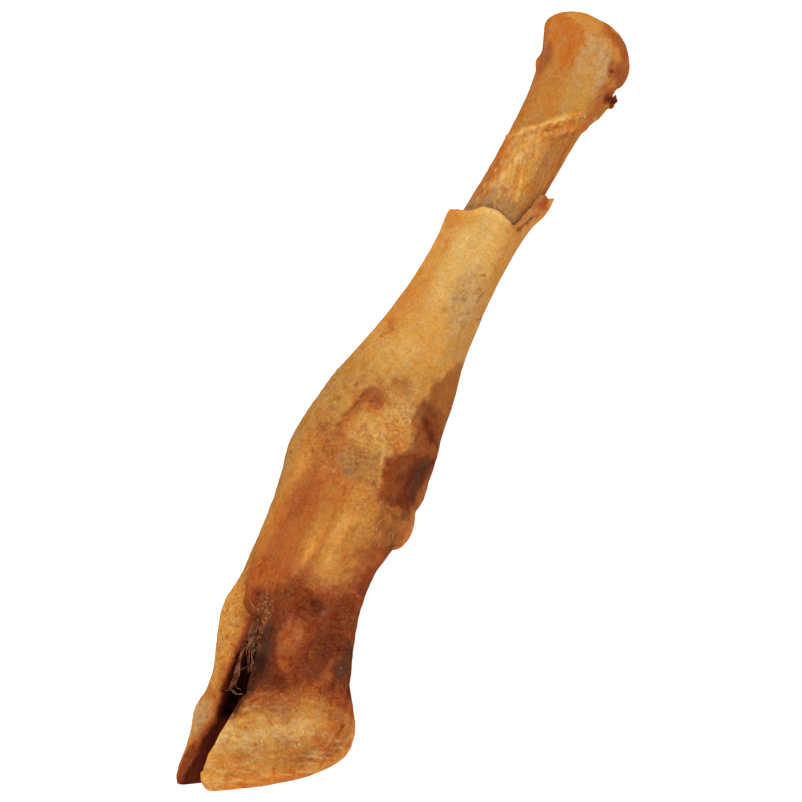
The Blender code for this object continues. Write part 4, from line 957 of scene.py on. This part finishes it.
def in_sleeve(points, normals):
    """1 for points of the skin's inner side, next to the bone."""
    x, y, z = points.T
    middle = np.interp(y, *zip(*SLEEVE_LINE))
    from_axis = np.hypot(x - middle, z - AXIS_Z)
    outward = ((x - middle) * normals[:, 0] + (z - AXIS_Z) * normals[:, 2]) / np.maximum(from_axis, 0.1)
    inner = smooth_step(0.1, -0.3, outward) * smooth_step(14.0, 12.0, from_axis)
    return inner * (y > SLEEVE_Y[0]) * (y < SLEEVE_Y[1])


def raised_lines(points, seen, items):
    """Rise of the ridges and creases, in millimetres."""
    x = points[:, 0] + 0.3 * noise(points, 1.8, 11)
    y = points[:, 1] + 0.3 * noise(points, 1.8, 12)
    rise = np.zeros(len(points))
    for i, item in enumerate(items):
        off = distance_to_line(x, y, item.line) / item.width
        rise += item.rise * np.exp(-off * off) * (1 + 0.5 * noise(points, 2.0, 13 + i))
    return rise * seen


def skin_regions(y):
    """How much each point belongs to each part of the skin."""
    shaft = smooth_step(-2, 14, y)
    pastern = smooth_step(-46, -54, y) * smooth_step(-84, -78, y)
    hoof = smooth_step(-80, -86, y)
    tendons = smooth_step(-22, -30, y) * smooth_step(-56, -50, y)
    fetlock = 1 - np.clip(shaft + pastern + hoof + tendons, 0, 1)
    return {"shaft": shaft, "fetlock": fetlock, "tendons": tendons, "pastern": pastern, "hoof": hoof}


def skin_relief(points, seen):
    """Wrinkles, pores and crusts, in millimetres along the normals."""
    x, y, z = points.T
    shaft, fetlock, tendons, pastern, hoof = skin_regions(y).values()
    move = 0.12 * rough_noise(points, 5.0, 20)
    move += shaft * (0.05 * rough_noise(points, (1.6, 7.0, 1.6), 24) + 0.04 * noise(points, 1.0, 27))
    move += fetlock * (0.12 * rough_noise(points, 2.2, 30) - 0.14 * ridges(points, 3.4, 33))
    move += tendons * (0.14 * rough_noise(points, (1.9, 9.0, 1.9), 36) + 0.05 * noise(points, 1.1, 39))
    move += pastern * (0.12 * rough_noise(points, 2.0, 40) - 0.06 * ridges(points, 3.0, 43))
    slant = math.radians(RING_SLANT)
    rings = np.stack([x * 0.2, y * math.cos(slant) - x * math.sin(slant), z * 0.2], axis=1)
    move += hoof * (0.05 * noise(rings, 1.2, 46) + 0.06 * rough_noise(points, 2.6, 48))
    return move + raised_lines(points, seen, SKIN_RIDGES)


def shape_skin(mesh, points, normals, hidden):
    """Gives the skin its relief, the upper toe its edge and the flap its ragged top."""
    x, y, z = points.T
    seen = smooth_step(0.0, 0.5, normals[:, 2])
    move = (PUFF + skin_relief(points, seen)) * (1 - hidden) * smooth_step(0.0, 0.8, z)
    shaped = points + normals * move[:, None]
    shaped[:, 2] = np.maximum(shaped[:, 2], 0.0)
    toe_edge = np.interp(y, *zip(*NEAR_TOE_EDGE)) + 0.15 * noise(points, 1.0, 57)
    past = np.maximum(toe_edge - shaped[:, 0], 0.0)
    shaped[:, 0] += np.where((y < TOE_EDGE_Y) & (z > TOES_SPLIT_Z), TRIM * past, 0.0)
    flap_top = np.interp(shaped[:, 0], *zip(*FLAP_TOP)) + 0.15 * noise(points, 0.9, 58)
    shaped[:, 1] = np.minimum(shaped[:, 1], np.where(x > FLAP_X, flap_top, np.inf))
    store_points(mesh, shaped)


def paint_toes(paint, up):
    """Paints shade on the toes towards the cleft, and gives the lower toe its sole."""
    x, y, z = paint.points.T
    inside = paint.far * smooth_step(0.1, 0.6, up) * smooth_step(-11.5, -9.5, x)
    roof = paint.parts["near"] * smooth_step(-0.2, -0.6, up) * smooth_step(-58, -61, y) * (z < CLEFT_TOP_Z)
    cleft = np.maximum(inside, roof)
    # Painted shade in the cleft: dark red over the toes' own colour, and black where it is deepest.
    paint.lay(cleft * 0.85, "wine")
    paint.lay(cleft * smooth_step(-93.0, -90.0, y) * smooth_step(-66.0, -70.0, y), "black")
    sole = paint.far * smooth_step(0.5, 0.1, up) * smooth_step(-11.0, 1.0, x)
    paint.lay(sole * 0.85, "clay")
    paint.lay(sole * smooth_step(0.0, 0.8, rough_noise(paint.points, 2.6, 66)) * 0.6, "honey")


def paint_sleeve(paint, hidden):
    """Lays the colour of the skin's inner side, except at the flap."""
    x, y, _ = paint.points.T
    at_flap = smooth_step(5.0, 6.5, x) * smooth_step(53.0, 54.5, y)
    paint.lay(hidden * (1 - at_flap) * 0.85, "rust")


def paint_relief_shading(paint, mesh, outside):
    """Paints shade into the skin's fine and broad hollows, and a painted highlight on its crests."""
    fine = spread(mesh, dents(mesh, 6)[:, None], 1)[:, 0]
    broad = spread(mesh, dents(mesh, 30)[:, None], 2)[:, 0]
    paint.lay(smooth_step(0.02, 0.14, fine) * 0.35 * outside, "umber")
    paint.lay(smooth_step(0.15, 0.9, broad) * 0.3 * outside, "umber")
    paint.brighten(smooth_step(0.02, 0.12, -fine) * 0.2 * outside)


def paint_horn(paint):
    """Lays the horn's grain on the upper hoof, but not on its dark corner."""
    x, y, z = paint.points.T
    slant = math.radians(GRAIN_SLANT)
    along = x * math.cos(slant) + y * math.sin(slant)
    across = y * math.cos(slant) - x * math.sin(slant)
    grain = np.stack([along * 0.13, across, z * 0.3], axis=1)
    corner = smooth_step(-5.2, -6.6, x) * smooth_step(-90.0, -87.0, y)
    on_hoof = smooth_step(-79.0, -86.0, y) * (1 - paint.far) * (1 - corner)
    paint.lay(smooth_step(0.0, 0.7, rough_noise(grain, 1.5, 70)) * 0.5 * on_hoof, "orange")
    paint.lay(smooth_step(0.05, 0.7, rough_noise(grain, 1.1, 74)) * 0.5 * on_hoof, "straw")


def make_skin():
    skin = dense_copy("hide", "skin", SKIN_VOXEL, SKIN_ROUNDS)
    points, normals = mesh_arrays(skin.data)
    hidden = in_sleeve(points, normals)
    shape_skin(skin.data, points, normals, hidden)

    paint = Painter(points, normals, SKIN_RUN)
    y = points[:, 1]
    paint.mottle(3.4, 60, 0.1, 0.9, "amber", 0.4)
    paint.mottle(2.4, 64, 0.2, 1.0, "cream", 0.4, smooth_step(-24, 0, y))
    paint.paint_under(SKIN_PAINT, 2000)
    paint.paint(SKIN_PAINT, 100)
    paint_toes(paint, normals[:, 2])
    paint_sleeve(paint, hidden)
    paint_relief_shading(paint, skin.data, 1 - hidden)
    paint_horn(paint)
    regions = skin_regions(y)
    paint.store(skin.data, sum(regions[name][:, None] * np.array(SKIN_DETAIL[name]) for name in regions))
    return skin


def membrane(points, up):
    """How much of the dried membrane and of its rim lies on each point, and the points along its fibres."""
    x, y, z = points.T
    wander = x + 0.5 * noise(points, 2.4, 80)
    edge = np.interp(wander, *zip(*MEMBRANE_TOP)) + 0.5 * noise(points, 1.3, 81)
    sheet = smooth_step(0.25, -0.25, y - edge) * smooth_step(52.0, 60.0, y) * up
    rim = np.exp(-(((y - edge + 0.9) / 0.8) ** 2)) * up
    fibre = np.stack([x + 0.30 * (y - 80), y * 0.10, z], axis=1)
    return sheet, rim, fibre


def bone_relief(points, up, sheet, rim, fibre):
    """The bone's own roughness and the membrane's fibres, rim and fold, in millimetres along the normals."""
    x, y, _ = points.T
    move = 0.05 * rough_noise(points, 4.0, 82) + 0.03 * rough_noise(points, (0.9, 4.0, 0.9), 84)
    move += sheet * (0.16 + 0.20 * ridges(fibre, 1.4, 86)) * smooth_step(9.6, 8.0, x)
    move += rim * (0.10 + 0.40 * rough_noise(points, 1.3, 88))
    fold = distance_to_line(x, y, MEMBRANE_FOLD)
    move += up * np.exp(-((fold / 0.7) ** 2)) * (0.05 + 0.4 * rough_noise(points, 1.2, 90))
    return move + raised_lines(points, up, BONE_RIDGES)


def make_bone():
    bone = dense_copy("bone", "cannon_bone", BONE_VOXEL, BONE_ROUNDS)
    points, normals = mesh_arrays(bone.data)
    x, y, _ = points.T
    up = smooth_step(-0.3, 0.3, normals[:, 2])
    sheet, rim, fibre = membrane(points, up)
    shaped = points + normals * bone_relief(points, up, sheet, rim, fibre)[:, None]
    at_scraps = smooth_step(90.6, 92.0, y) * smooth_step(98.5, 97.5, y) * (x > 11.0)
    beyond = np.maximum(shaped[:, 0] - np.interp(y, *zip(*SCRAPS_EDGE)), 0.0)
    shaped[:, 0] -= at_scraps * beyond * TRIM
    store_points(bone.data, shaped)

    paint = Painter(points, normals, BONE_RUN)
    paint.mottle(3.0, 94, 0.2, 0.9, "amber", 0.4)
    paint.paint_under(BONE_PAINT, 3000)
    paint.paint(BONE_PAINT, 1000)
    hanging = sheet * smooth_step(4.6, 2.6, x)
    paint.lay(hanging * smooth_step(0.1, 0.7, rough_noise(fibre, 0.9, 96, 2)) * 0.6, "straw")
    paint.lay(hanging * smooth_step(0.1, 0.7, rough_noise(fibre, 1.1, 98, 2)) * 0.6, "orange")
    paint.lay(rim * smooth_step(0.0, 0.6, rough_noise(points, 1.3, 99)) * 0.6, "straw")
    # Painted shade, rust brown, in the bone's fine hollows, and a painted highlight on its crests.
    fine = dents(bone.data, 6)
    paint.lay(smooth_step(0.02, 0.12, fine) * 0.4, "rust")
    paint.brighten(smooth_step(0.02, 0.12, -fine) * 0.15)
    paint.store(bone.data, BONE_DETAIL + sheet[:, None] * np.array(SHEET_DETAIL))
    return bone


def surface_finder(obj):
    """A function that gives the height of the surface under an (x, y), or None beside it."""
    bm = bmesh.new()
    bm.from_mesh(obj.data)
    tree = BVHTree.FromBMesh(bm)
    bm.free()

    def height_at(x, y):
        hit = tree.ray_cast(Vector((x * MM, y * MM, 0.1)), Vector((0, 0, -1)))[0]
        return None if hit is None else hit.z / MM

    return height_at


def object_of(bm, name):
    """A new object in the scene, made of a bmesh that isn't needed any more."""
    mesh = bpy.data.meshes.new(name)
    bm.to_mesh(mesh)
    bm.free()
    obj = bpy.data.objects.new(name, mesh)
    bpy.context.scene.collection.objects.link(obj)
    return obj


STRAND_SIDES = 5


def strand(bm, path, radius):
    """A thin tube along a path in millimetres, thinner towards both ends."""
    rings = []
    for i, point in enumerate(path):
        before, after = Vector(path[max(i - 1, 0)]), Vector(path[min(i + 1, len(path) - 1)])
        along = (after - before).normalized()
        side = along.cross(Vector((0, 0, 1)) if abs(along.z) < 0.9 else Vector((1, 0, 0))).normalized()
        other = along.cross(side)
        share = i / (len(path) - 1)
        wide = radius * (0.25 + 0.75 * math.sin(math.pi * share) ** 0.4)
        corners = []
        for turn in range(STRAND_SIDES):
            angle = 2 * math.pi * turn / STRAND_SIDES
            spot = Vector(point) + (side * math.cos(angle) + other * math.sin(angle)) * wide
            corners.append(bm.verts.new(spot * MM))
        rings.append(corners)
    bm.faces.new(rings[0])
    bm.faces.new(reversed(rings[-1]))
    for lower, upper in zip(rings, rings[1:]):
        for i in range(STRAND_SIDES):
            j = (i + 1) % STRAND_SIDES
            bm.faces.new((lower[i], upper[i], upper[j], lower[j]))


def strands_object(name, strands):
    """One object of many strands, of which the path and the radius of each are given."""
    bm = bmesh.new()
    for path, radius in strands:
        strand(bm, path, radius)
    bmesh.ops.recalc_face_normals(bm, faces=bm.faces)
    obj = object_of(bm, name)
    obj.data.shade_smooth()
    return obj


# Fibres in the cleft: the line a bundle follows, how many strands it has and how far they lie apart.
Bundle = namedtuple("Bundle", "line strands apart")
BUNDLES = (
    Bundle(((-11.6, -64.6), (-11.4, -69), (-10.4, -72.6)), 9, 0.6),
    Bundle(((-10, -64.6), (-9.3, -68.6), (-10, -71.6)), 6, 0.5),
    Bundle(((-10.6, -70.6), (-9.3, -74), (-7.7, -77.6)), 8, 0.4),
    Bundle(((-12, -72.4), (-11.3, -77), (-10.5, -80.6), (-10.7, -84.2)), 8, 0.35),
    Bundle(((-9.2, -76.6), (-10.2, -78.4), (-10.2, -80.8), (-9.5, -82.6), (-8, -82.8)), 2, 0.15),
    Bundle(((-11.5, -84.7), (-10.2, -83.9), (-8.8, -84.2), (-7, -83.3)), 3, 0.2),
)
CLEFT_SIDES = (-13.4, -6.2)
CLEFT_SAG = 1.2  # how far the fibres hang below a straight line across the cleft
BUNDLE_STEPS = 16
FIBRE_COUNT = 120  # with those of the bundles
FIBRE_STEPS = 8


def along_line(line, share):
    """The point a share of the way along a bent line, by its corners."""
    place = share * (len(line) - 1)
    corner = min(int(place), len(line) - 2)
    (ax, ay), (bx, by) = line[corner], line[corner + 1]
    return ax + (bx - ax) * (place - corner), ay + (by - ay) * (place - corner)


def spot_within(draw, outline):
    """A point drawn at random inside an outline."""
    xs, ys = zip(*outline)
    while True:
        x, y = draw.uniform(min(xs), max(xs)), draw.uniform(min(ys), max(ys))
        if depth_inside(np.array([x]), np.array([y]), outline)[0] >= 0:
            return x, y


def hanging_fibres(draw, over_cleft):
    """The path and the radius of each fibre in the bundles."""
    for bundle in BUNDLES:
        for _ in range(bundle.strands):
            aside, sunk = draw.gauss(0, bundle.apart), draw.uniform(-0.5, 0.5)
            turns, swing, start = draw.uniform(1.5, 4.0), draw.uniform(0.06, 0.22), draw.uniform(0, 6)
            path = []
            for i in range(BUNDLE_STEPS + 1):
                x, y = along_line(bundle.line, i / BUNDLE_STEPS)
                bend = swing * math.sin(start + turns * math.pi * i / BUNDLE_STEPS)
                path.append((x + aside + bend, y + 0.6 * aside + bend, over_cleft(x, y) + sunk + bend))
            yield path, draw.uniform(0.04, 0.10)


def matted_fibre(draw, over_cleft, height_at):
    """The path and the radius of one curled fibre on the web between the toes."""
    x, y = spot_within(draw, MATTED)
    heading, curl = draw.gauss(-math.pi / 2, 0.9), draw.uniform(-1.0, 1.0)
    step = draw.uniform(0.8, 2.6) / FIBRE_STEPS
    path = []
    for _ in range(FIBRE_STEPS + 1):
        path.append((x, y, max(height_at(x, y) or 0.0, over_cleft(x, y)) + 0.12))
        heading += curl * step
        x, y = x + math.cos(heading) * step, y + math.sin(heading) * step
    return path, draw.uniform(0.05, 0.11)


def cleft_fibres(height_at):
    """Dried fibres matted on the web between the toes, and bundles of them that hang across the cleft."""
    draw = random.Random(7)

    def over_cleft(x, y):
        low, high = (height_at(side, y) for side in CLEFT_SIDES)
        share = (x - CLEFT_SIDES[0]) / (CLEFT_SIDES[1] - CLEFT_SIDES[0])
        return low + (high - low) * share - CLEFT_SAG

    fibres = list(hanging_fibres(draw, over_cleft))
    while len(fibres) < FIBRE_COUNT:
        fibres.append(matted_fibre(draw, over_cleft, height_at))
    return strands_object("cleft_fibres", fibres)


# Dried scraps at the back of the bone's end: the outline of each, its lower side and how thick it is.
Scrap = namedtuple("Scrap", "outline height thick")
SCRAPS = (
    Scrap(((12.6, 93.6), (13.6, 92.5), (14.7, 92.1), (15.3, 92.5), (15.5, 93), (15.4, 93.6), (15.8, 94.8),
        (15.2, 95.4), (14.8, 96), (14.5, 96.1), (14.3, 95.4), (13.8, 95.2), (13, 95)), 16.6, 1.2),
    Scrap(((13, 93.8), (14, 93.2), (14.6, 92.7), (15.3, 92.8), (14.7, 93.4), (14.6, 94), (14.3, 94.8),
        (13.4, 94.6)), 17.8, 0.5),
    Scrap(((14.6, 94.2), (15.4, 93.8), (15.7, 94.8), (15, 95.3), (14.6, 95.9)), 17.8, 0.3),
)


def scraps():
    """Crisp, buckled flakes of dried membrane."""
    draw = random.Random(11)
    bm = bmesh.new()
    for scrap in SCRAPS:
        middle = [sum(row) / len(scrap.outline) for row in zip(*scrap.outline)]
        rings = []
        for rise in (0.0, scrap.thick):
            corners = []
            for x, y in scrap.outline:
                height = scrap.height + rise + draw.uniform(-0.25, 0.25)
                corners.append(bm.verts.new(Vector((x, y, height)) * MM))
            rings.append((corners, bm.verts.new(Vector((*middle, scrap.height + rise + 0.2)) * MM)))
        (lower, lower_middle), (upper, upper_middle) = rings
        for i in range(len(lower)):
            j = (i + 1) % len(lower)
            bm.faces.new((lower[i], lower[j], upper[j], upper[i]))
            bm.faces.new((upper[i], upper[j], upper_middle))
            bm.faces.new((lower[j], lower[i], lower_middle))
    return object_of(bm, "scraps")


# Single fine hairs that still lie on the skin: where each starts and ends, and how far it bows.
HAIRS = (
    ((-17.1, -13.8), (-18.2, -20.3), 0.1),
    ((6.6, -27.4), (6.6, -31.8), 0.7),
    ((10.6, -29.8), (10.9, -31.4), 0.1),
    ((-15.6, -60.8), (-12.4, -62.2), 0.5),
    ((-12.0, -59.2), (-10.6, -60.6), 0.2),
)
HAIR_RADIUS = 0.07
HAIR_STEPS = 12


def hairs(height_at):
    strands = []
    for (ax, ay), (bx, by), bow in HAIRS:
        length = math.hypot(bx - ax, by - ay)
        path = []
        for i in range(HAIR_STEPS + 1):
            share = i / HAIR_STEPS
            swell = bow * math.sin(math.pi * share)
            x = ax + (bx - ax) * share + swell * (by - ay) / length
            y = ay + (by - ay) * share - swell * (bx - ax) / length
            height = height_at(x, y)
            if height is not None:
                path.append((x, y, height + 0.08))
        strands.append((path, HAIR_RADIUS))
    return strands_object("hairs", strands)


def crumb(bm, draw, x, y, height, sizes):
    """Adds one rough fleck that lies at its height."""
    size = draw.uniform(*sizes)
    ball = bmesh.ops.create_icosphere(bm, subdivisions=1, radius=1.0)["verts"]
    stretch = draw.uniform(1.0, 2.2)
    turn = draw.uniform(0, math.pi)
    for vert in ball:
        u = vert.co.x * size * stretch * draw.uniform(0.7, 1.2)
        v = vert.co.y * size * draw.uniform(0.7, 1.2)
        w = vert.co.z * size * 0.6
        vert.co = Vector((
            x + u * math.cos(turn) - v * math.sin(turn),
            y + u * math.sin(turn) + v * math.cos(turn),
            height + w,
        )) * MM


def crumbs(name, outline, count, sizes, height_at, seed):
    """Small rough flecks stuck to the surface within an outline."""
    draw = random.Random(seed)
    bm = bmesh.new()
    made = 0
    while made < count:
        x, y = spot_within(draw, outline)
        height = height_at(x, y)
        if height is not None:
            crumb(bm, draw, x, y, height, sizes)
            made += 1
    obj = object_of(bm, name)
    obj.data.shade_smooth()
    return obj


class Shader:
    """A material's nodes, added and linked by short calls."""

    def __init__(self, name):
        self.material = bpy.data.materials.new(name)
        self.material.use_nodes = True
        self.nodes = self.material.node_tree.nodes
        self.links = self.material.node_tree.links
        self.surface = self.nodes["Principled BSDF"]
        self.coords = self.add("ShaderNodeTexCoord")

    def add(self, kind, **values):
        node = self.nodes.new(kind)
        for key, value in values.items():
            setattr(node, key, value)
        return node

    def noise(self, size, detail, seed, stretch=1.0, swirl=0.0):
        """Noise with bumps of size millimetres, stretch times as long along the leg."""
        place = self.add("ShaderNodeMapping")
        place.inputs["Location"].default_value = (seed, seed * 0.7, seed * 1.3)
        place.inputs["Scale"].default_value = (1.0, 1.0 / stretch, 1.0)
        self.links.new(self.coords.outputs["Object"], place.inputs["Vector"])
        node = self.add("ShaderNodeTexNoise")
        node.inputs["Scale"].default_value = 1 / (size * MM)
        node.inputs["Detail"].default_value = detail
        node.inputs["Roughness"].default_value = 0.65
        node.inputs["Distortion"].default_value = swirl
        self.links.new(place.outputs["Vector"], node.inputs["Vector"])
        return node.outputs["Fac"]

    def ranged(self, value, from_low, from_high, to_low, to_high):
        """Carries a value from one range over to another, and holds it at the ends."""
        node = self.add("ShaderNodeMapRange")
        self.links.new(value, node.inputs["Value"])
        numbers = {"From Min": from_low, "From Max": from_high, "To Min": to_low, "To Max": to_high}
        for key, number in numbers.items():
            node.inputs[key].default_value = number
        return node.outputs["Result"]

    def math(self, operation, value, other):
        """One step of arithmetic with two values; other may be a number."""
        node = self.add("ShaderNodeMath", operation=operation)
        self.links.new(value, node.inputs[0])
        if isinstance(other, float):
            node.inputs[1].default_value = other
        else:
            self.links.new(other, node.inputs[1])
        return node.outputs["Value"]

    def shade(self, tint, factor):
        """Multiplies a colour by a value."""
        node = self.add("ShaderNodeVectorMath", operation="SCALE")
        self.links.new(tint, node.inputs["Vector"])
        self.links.new(factor, node.inputs["Scale"])
        return node.outputs["Vector"]

    def mix(self, factor, one, other, kind="MIX"):
        node = self.add("ShaderNodeMix", data_type="RGBA", blend_type=kind)
        self.links.new(factor, node.inputs["Factor"])
        self.links.new(one, node.inputs["A"])
        node.inputs["B"].default_value = (*other, 1.0)
        return node.outputs["Result"]


# What stains, and a hue that drifts, multiply the colour by.
ORANGE_STAIN = (0.80, 0.50, 0.38)
PALE_STAIN = (1.14, 1.32, 1.6)
BROWN_STAIN = (0.62, 0.42, 0.34)
DARK_STAIN = (0.42, 0.26, 0.22)
BRIGHT_STAIN = (1.6, 1.9, 2.2)
WARM_DRIFT = (1.06, 0.90, 0.45)
COOL_DRIFT = (0.93, 1.08, 1.75)


def dried_tint(made, drift, stretch):
    """The painted colour with finer procedural marbling, streaks and specks.
    drift is how far the hue wanders between orange and straw."""
    tint = made.add("ShaderNodeAttribute", attribute_name="Tint").outputs["Color"]
    kept = made.add("ShaderNodeAttribute", attribute_name="Detail").outputs["Color"]
    detail = made.add("ShaderNodeSeparateColor")
    made.links.new(kept, detail.inputs["Color"])
    marbling, streaking, specking = (detail.outputs[part] for part in ("Red", "Green", "Blue"))

    for size, layers, seed, swing in ((1.7, 4.0, 1.0, 0.07), (0.6, 3.0, 2.0, 0.14), (0.28, 2.0, 11.0, 0.17)):
        pattern = made.noise(size, layers, seed, stretch)
        tint = made.shade(tint, made.ranged(pattern, 0.3, 0.7, 1 - swing, 1 + swing))
    for size, seed in ((3.2, 13.0), (1.1, 14.0)):
        pattern = made.noise(size, 4.0, seed, stretch)
        tint = made.mix(made.ranged(pattern, 0.5, 0.68, 0.0, drift), tint, WARM_DRIFT, "MULTIPLY")
        tint = made.mix(made.ranged(pattern, 0.5, 0.32, 0.0, drift), tint, COOL_DRIFT, "MULTIPLY")
    vein = made.math("ABSOLUTE", made.math("SUBTRACT", made.noise(3.6, 4.0, 7.0, stretch, 1.2), 0.5), 0.0)
    # Pattern, where a stain starts in it and where it is full, strength, mask and what it multiplies by
    stains = (
        (made.noise(2.6, 8.0, 3.0, stretch, 0.8), 0.50, 0.66, 0.75, marbling, ORANGE_STAIN),
        (made.noise(1.6, 7.0, 4.0, stretch, 1.0), 0.54, 0.70, 0.60, marbling, PALE_STAIN),
        (vein, 0.022, 0.0, 0.40, marbling, BROWN_STAIN),
        (made.noise(0.8, 5.0, 8.0, 9.0), 0.50, 0.66, 0.60, streaking, ORANGE_STAIN),
        (made.noise(0.6, 5.0, 9.0, 12.0), 0.54, 0.70, 0.60, streaking, PALE_STAIN),
        (made.noise(0.6, 2.0, 10.0), 0.66, 0.74, 0.90, specking, DARK_STAIN),
        (made.noise(0.45, 3.0, 12.0), 0.56, 0.70, 0.80, specking, BRIGHT_STAIN),
    )
    for pattern, low, high, strength, mask, stain in stains:
        factor = made.math("MULTIPLY", made.ranged(pattern, low, high, 0.0, strength), mask)
        tint = made.mix(factor, tint, stain, "MULTIPLY")
    return tint


def dried_material(name, roughness, bump, drift, stretch):
    """Painted, stained colour with uneven gloss and a fine bump."""
    made = Shader(name)
    made.links.new(dried_tint(made, drift, stretch), made.surface.inputs["Base Color"])
    gloss = made.ranged(made.noise(2.5, 3.0, 5.0), 0.3, 0.7, roughness - 0.1, roughness + 0.1)
    made.links.new(gloss, made.surface.inputs["Roughness"])
    made.surface.inputs["Specular IOR Level"].default_value = 0.0
    made.surface.inputs["Subsurface Weight"].default_value = 0.06
    made.surface.inputs["Subsurface Radius"].default_value = (1.0, 0.45, 0.2)
    made.surface.inputs["Subsurface Scale"].default_value = 1.2 * MM
    lumps = made.add("ShaderNodeBump")
    lumps.inputs["Strength"].default_value = bump
    lumps.inputs["Distance"].default_value = 0.12 * MM
    made.links.new(made.noise(0.8, 5.0, 6.0, stretch), lumps.inputs["Height"])
    made.links.new(lumps.outputs["Normal"], made.surface.inputs["Normal"])
    return made.material


def strand_material(name, light, dark):
    """Thin dried fibre, its colour changing along it."""
    made = Shader(name)
    plain = made.add("ShaderNodeRGB")
    plain.outputs["Color"].default_value = (*colour(light), 1.0)
    spots = made.ranged(made.noise(1.4, 3.0, 8.0), 0.4, 0.62, 0.0, 1.0)
    tint = made.mix(spots, plain.outputs["Color"], colour(dark))
    made.links.new(tint, made.surface.inputs["Base Color"])
    made.surface.inputs["Roughness"].default_value = 0.5
    made.surface.inputs["Specular IOR Level"].default_value = 0.0
    return made.material


FLOOR_GLOW = 0.97  # so bright that it comes out white, with next to no shadow, as in the photograph
WORLD_LIGHT = 0.45
KEY_SIZE = 0.6
KEY_POWER = 17.0
FILL_PLACE = (0.5, -0.4, 1.1)
FILL_SIZE = 0.8
FILL_POWER = 4.0


def make_floor():
    bm = bmesh.new()
    bmesh.ops.create_grid(bm, x_segments=8, y_segments=8, size=8.0)
    floor = object_of(bm, "floor")
    material = bpy.data.materials.new("floor")
    material.use_nodes = True
    surface = material.node_tree.nodes["Principled BSDF"]
    surface.inputs["Base Color"].default_value = (0.2, 0.2, 0.2, 1.0)
    surface.inputs["Emission Color"].default_value = (1.0, 1.0, 1.0, 1.0)
    surface.inputs["Emission Strength"].default_value = FLOOR_GLOW
    surface.inputs["Roughness"].default_value = 0.9
    surface.inputs["Specular IOR Level"].default_value = 0.1
    floor.data.materials.append(material)


def add_light(name, place, size, power):
    """A round area light that shines on the origin."""
    data = bpy.data.lights.new(name, "AREA")
    data.shape = "DISK"
    data.size = size
    data.energy = power
    light = bpy.data.objects.new(name, data)
    bpy.context.scene.collection.objects.link(light)
    light.location = place
    light.rotation_euler = (-Vector(place)).to_track_quat("-Z", "Y").to_euler()


def light_scene():
    world = bpy.data.worlds.new("studio")
    bpy.context.scene.world = world
    world.use_nodes = True
    back = world.node_tree.nodes["Background"]
    back.inputs["Color"].default_value = (1.0, 1.0, 1.0, 1.0)
    back.inputs["Strength"].default_value = WORLD_LIGHT
    add_light("key", KEY_PLACE, KEY_SIZE, KEY_POWER)
    add_light("fill", FILL_PLACE, FILL_SIZE, FILL_POWER)
    bpy.context.scene.view_settings.view_transform = "Standard"


# The photograph looks straight down on the leg, which leans to the right in it.
LEAN = math.radians(25.0)
VIEW_CENTRE = (-2.1 * MM, 1.65 * MM)
PHOTO_PIXELS = 802
PIXELS_PER_MM = 3.9
VIEW_WIDTH = PHOTO_PIXELS / PIXELS_PER_MM * MM
VIEW_DISTANCE = 3.0
VIEW_HEIGHT = AXIS_Z * MM


def add_camera():
    data = bpy.data.cameras.new("camera")
    data.sensor_width = 36.0
    data.lens = data.sensor_width * VIEW_DISTANCE / VIEW_WIDTH
    data.clip_end = 20.0
    camera = bpy.data.objects.new("camera", data)
    bpy.context.scene.collection.objects.link(camera)
    camera.location = (*VIEW_CENTRE, VIEW_HEIGHT + VIEW_DISTANCE)
    camera.rotation_euler = (0.0, 0.0, LEAN)
    bpy.context.scene.camera = camera


def dress(obj, material, node=None):
    obj.data.materials.append(material)
    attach(obj, "root")
    if node:
        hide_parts(node)


add_camera()
light_scene()
make_floor()
skin = make_skin()
dried_skin = dried_material("dried_skin", roughness=0.5, bump=0.6, drift=0.4, stretch=1.0)
dress(skin, dried_skin, "hide")
dried_bone = dried_material("dried_bone", roughness=0.42, bump=0.4, drift=0.6, stretch=1.5)
dress(make_bone(), dried_bone, "bone")
skin_height = surface_finder(skin)
dress(cleft_fibres(skin_height), strand_material("fibre", "husk", "umber"))
dress(hairs(skin_height), strand_material("hair", "straw", "tan"))
flecks = crumbs("flecks", PASTERN, count=30, sizes=(0.07, 0.18), height_at=skin_height, seed=3)
dress(flecks, strand_material("fleck", "dun", "brown"))
dress(scraps(), strand_material("scrap", "russet", "wine"))
web_crumbs = crumbs("web_crumbs", MATTED, count=60, sizes=(0.10, 0.28), height_at=skin_height, seed=5)
dress(web_crumbs, strand_material("crumb", "tan", "brown"))
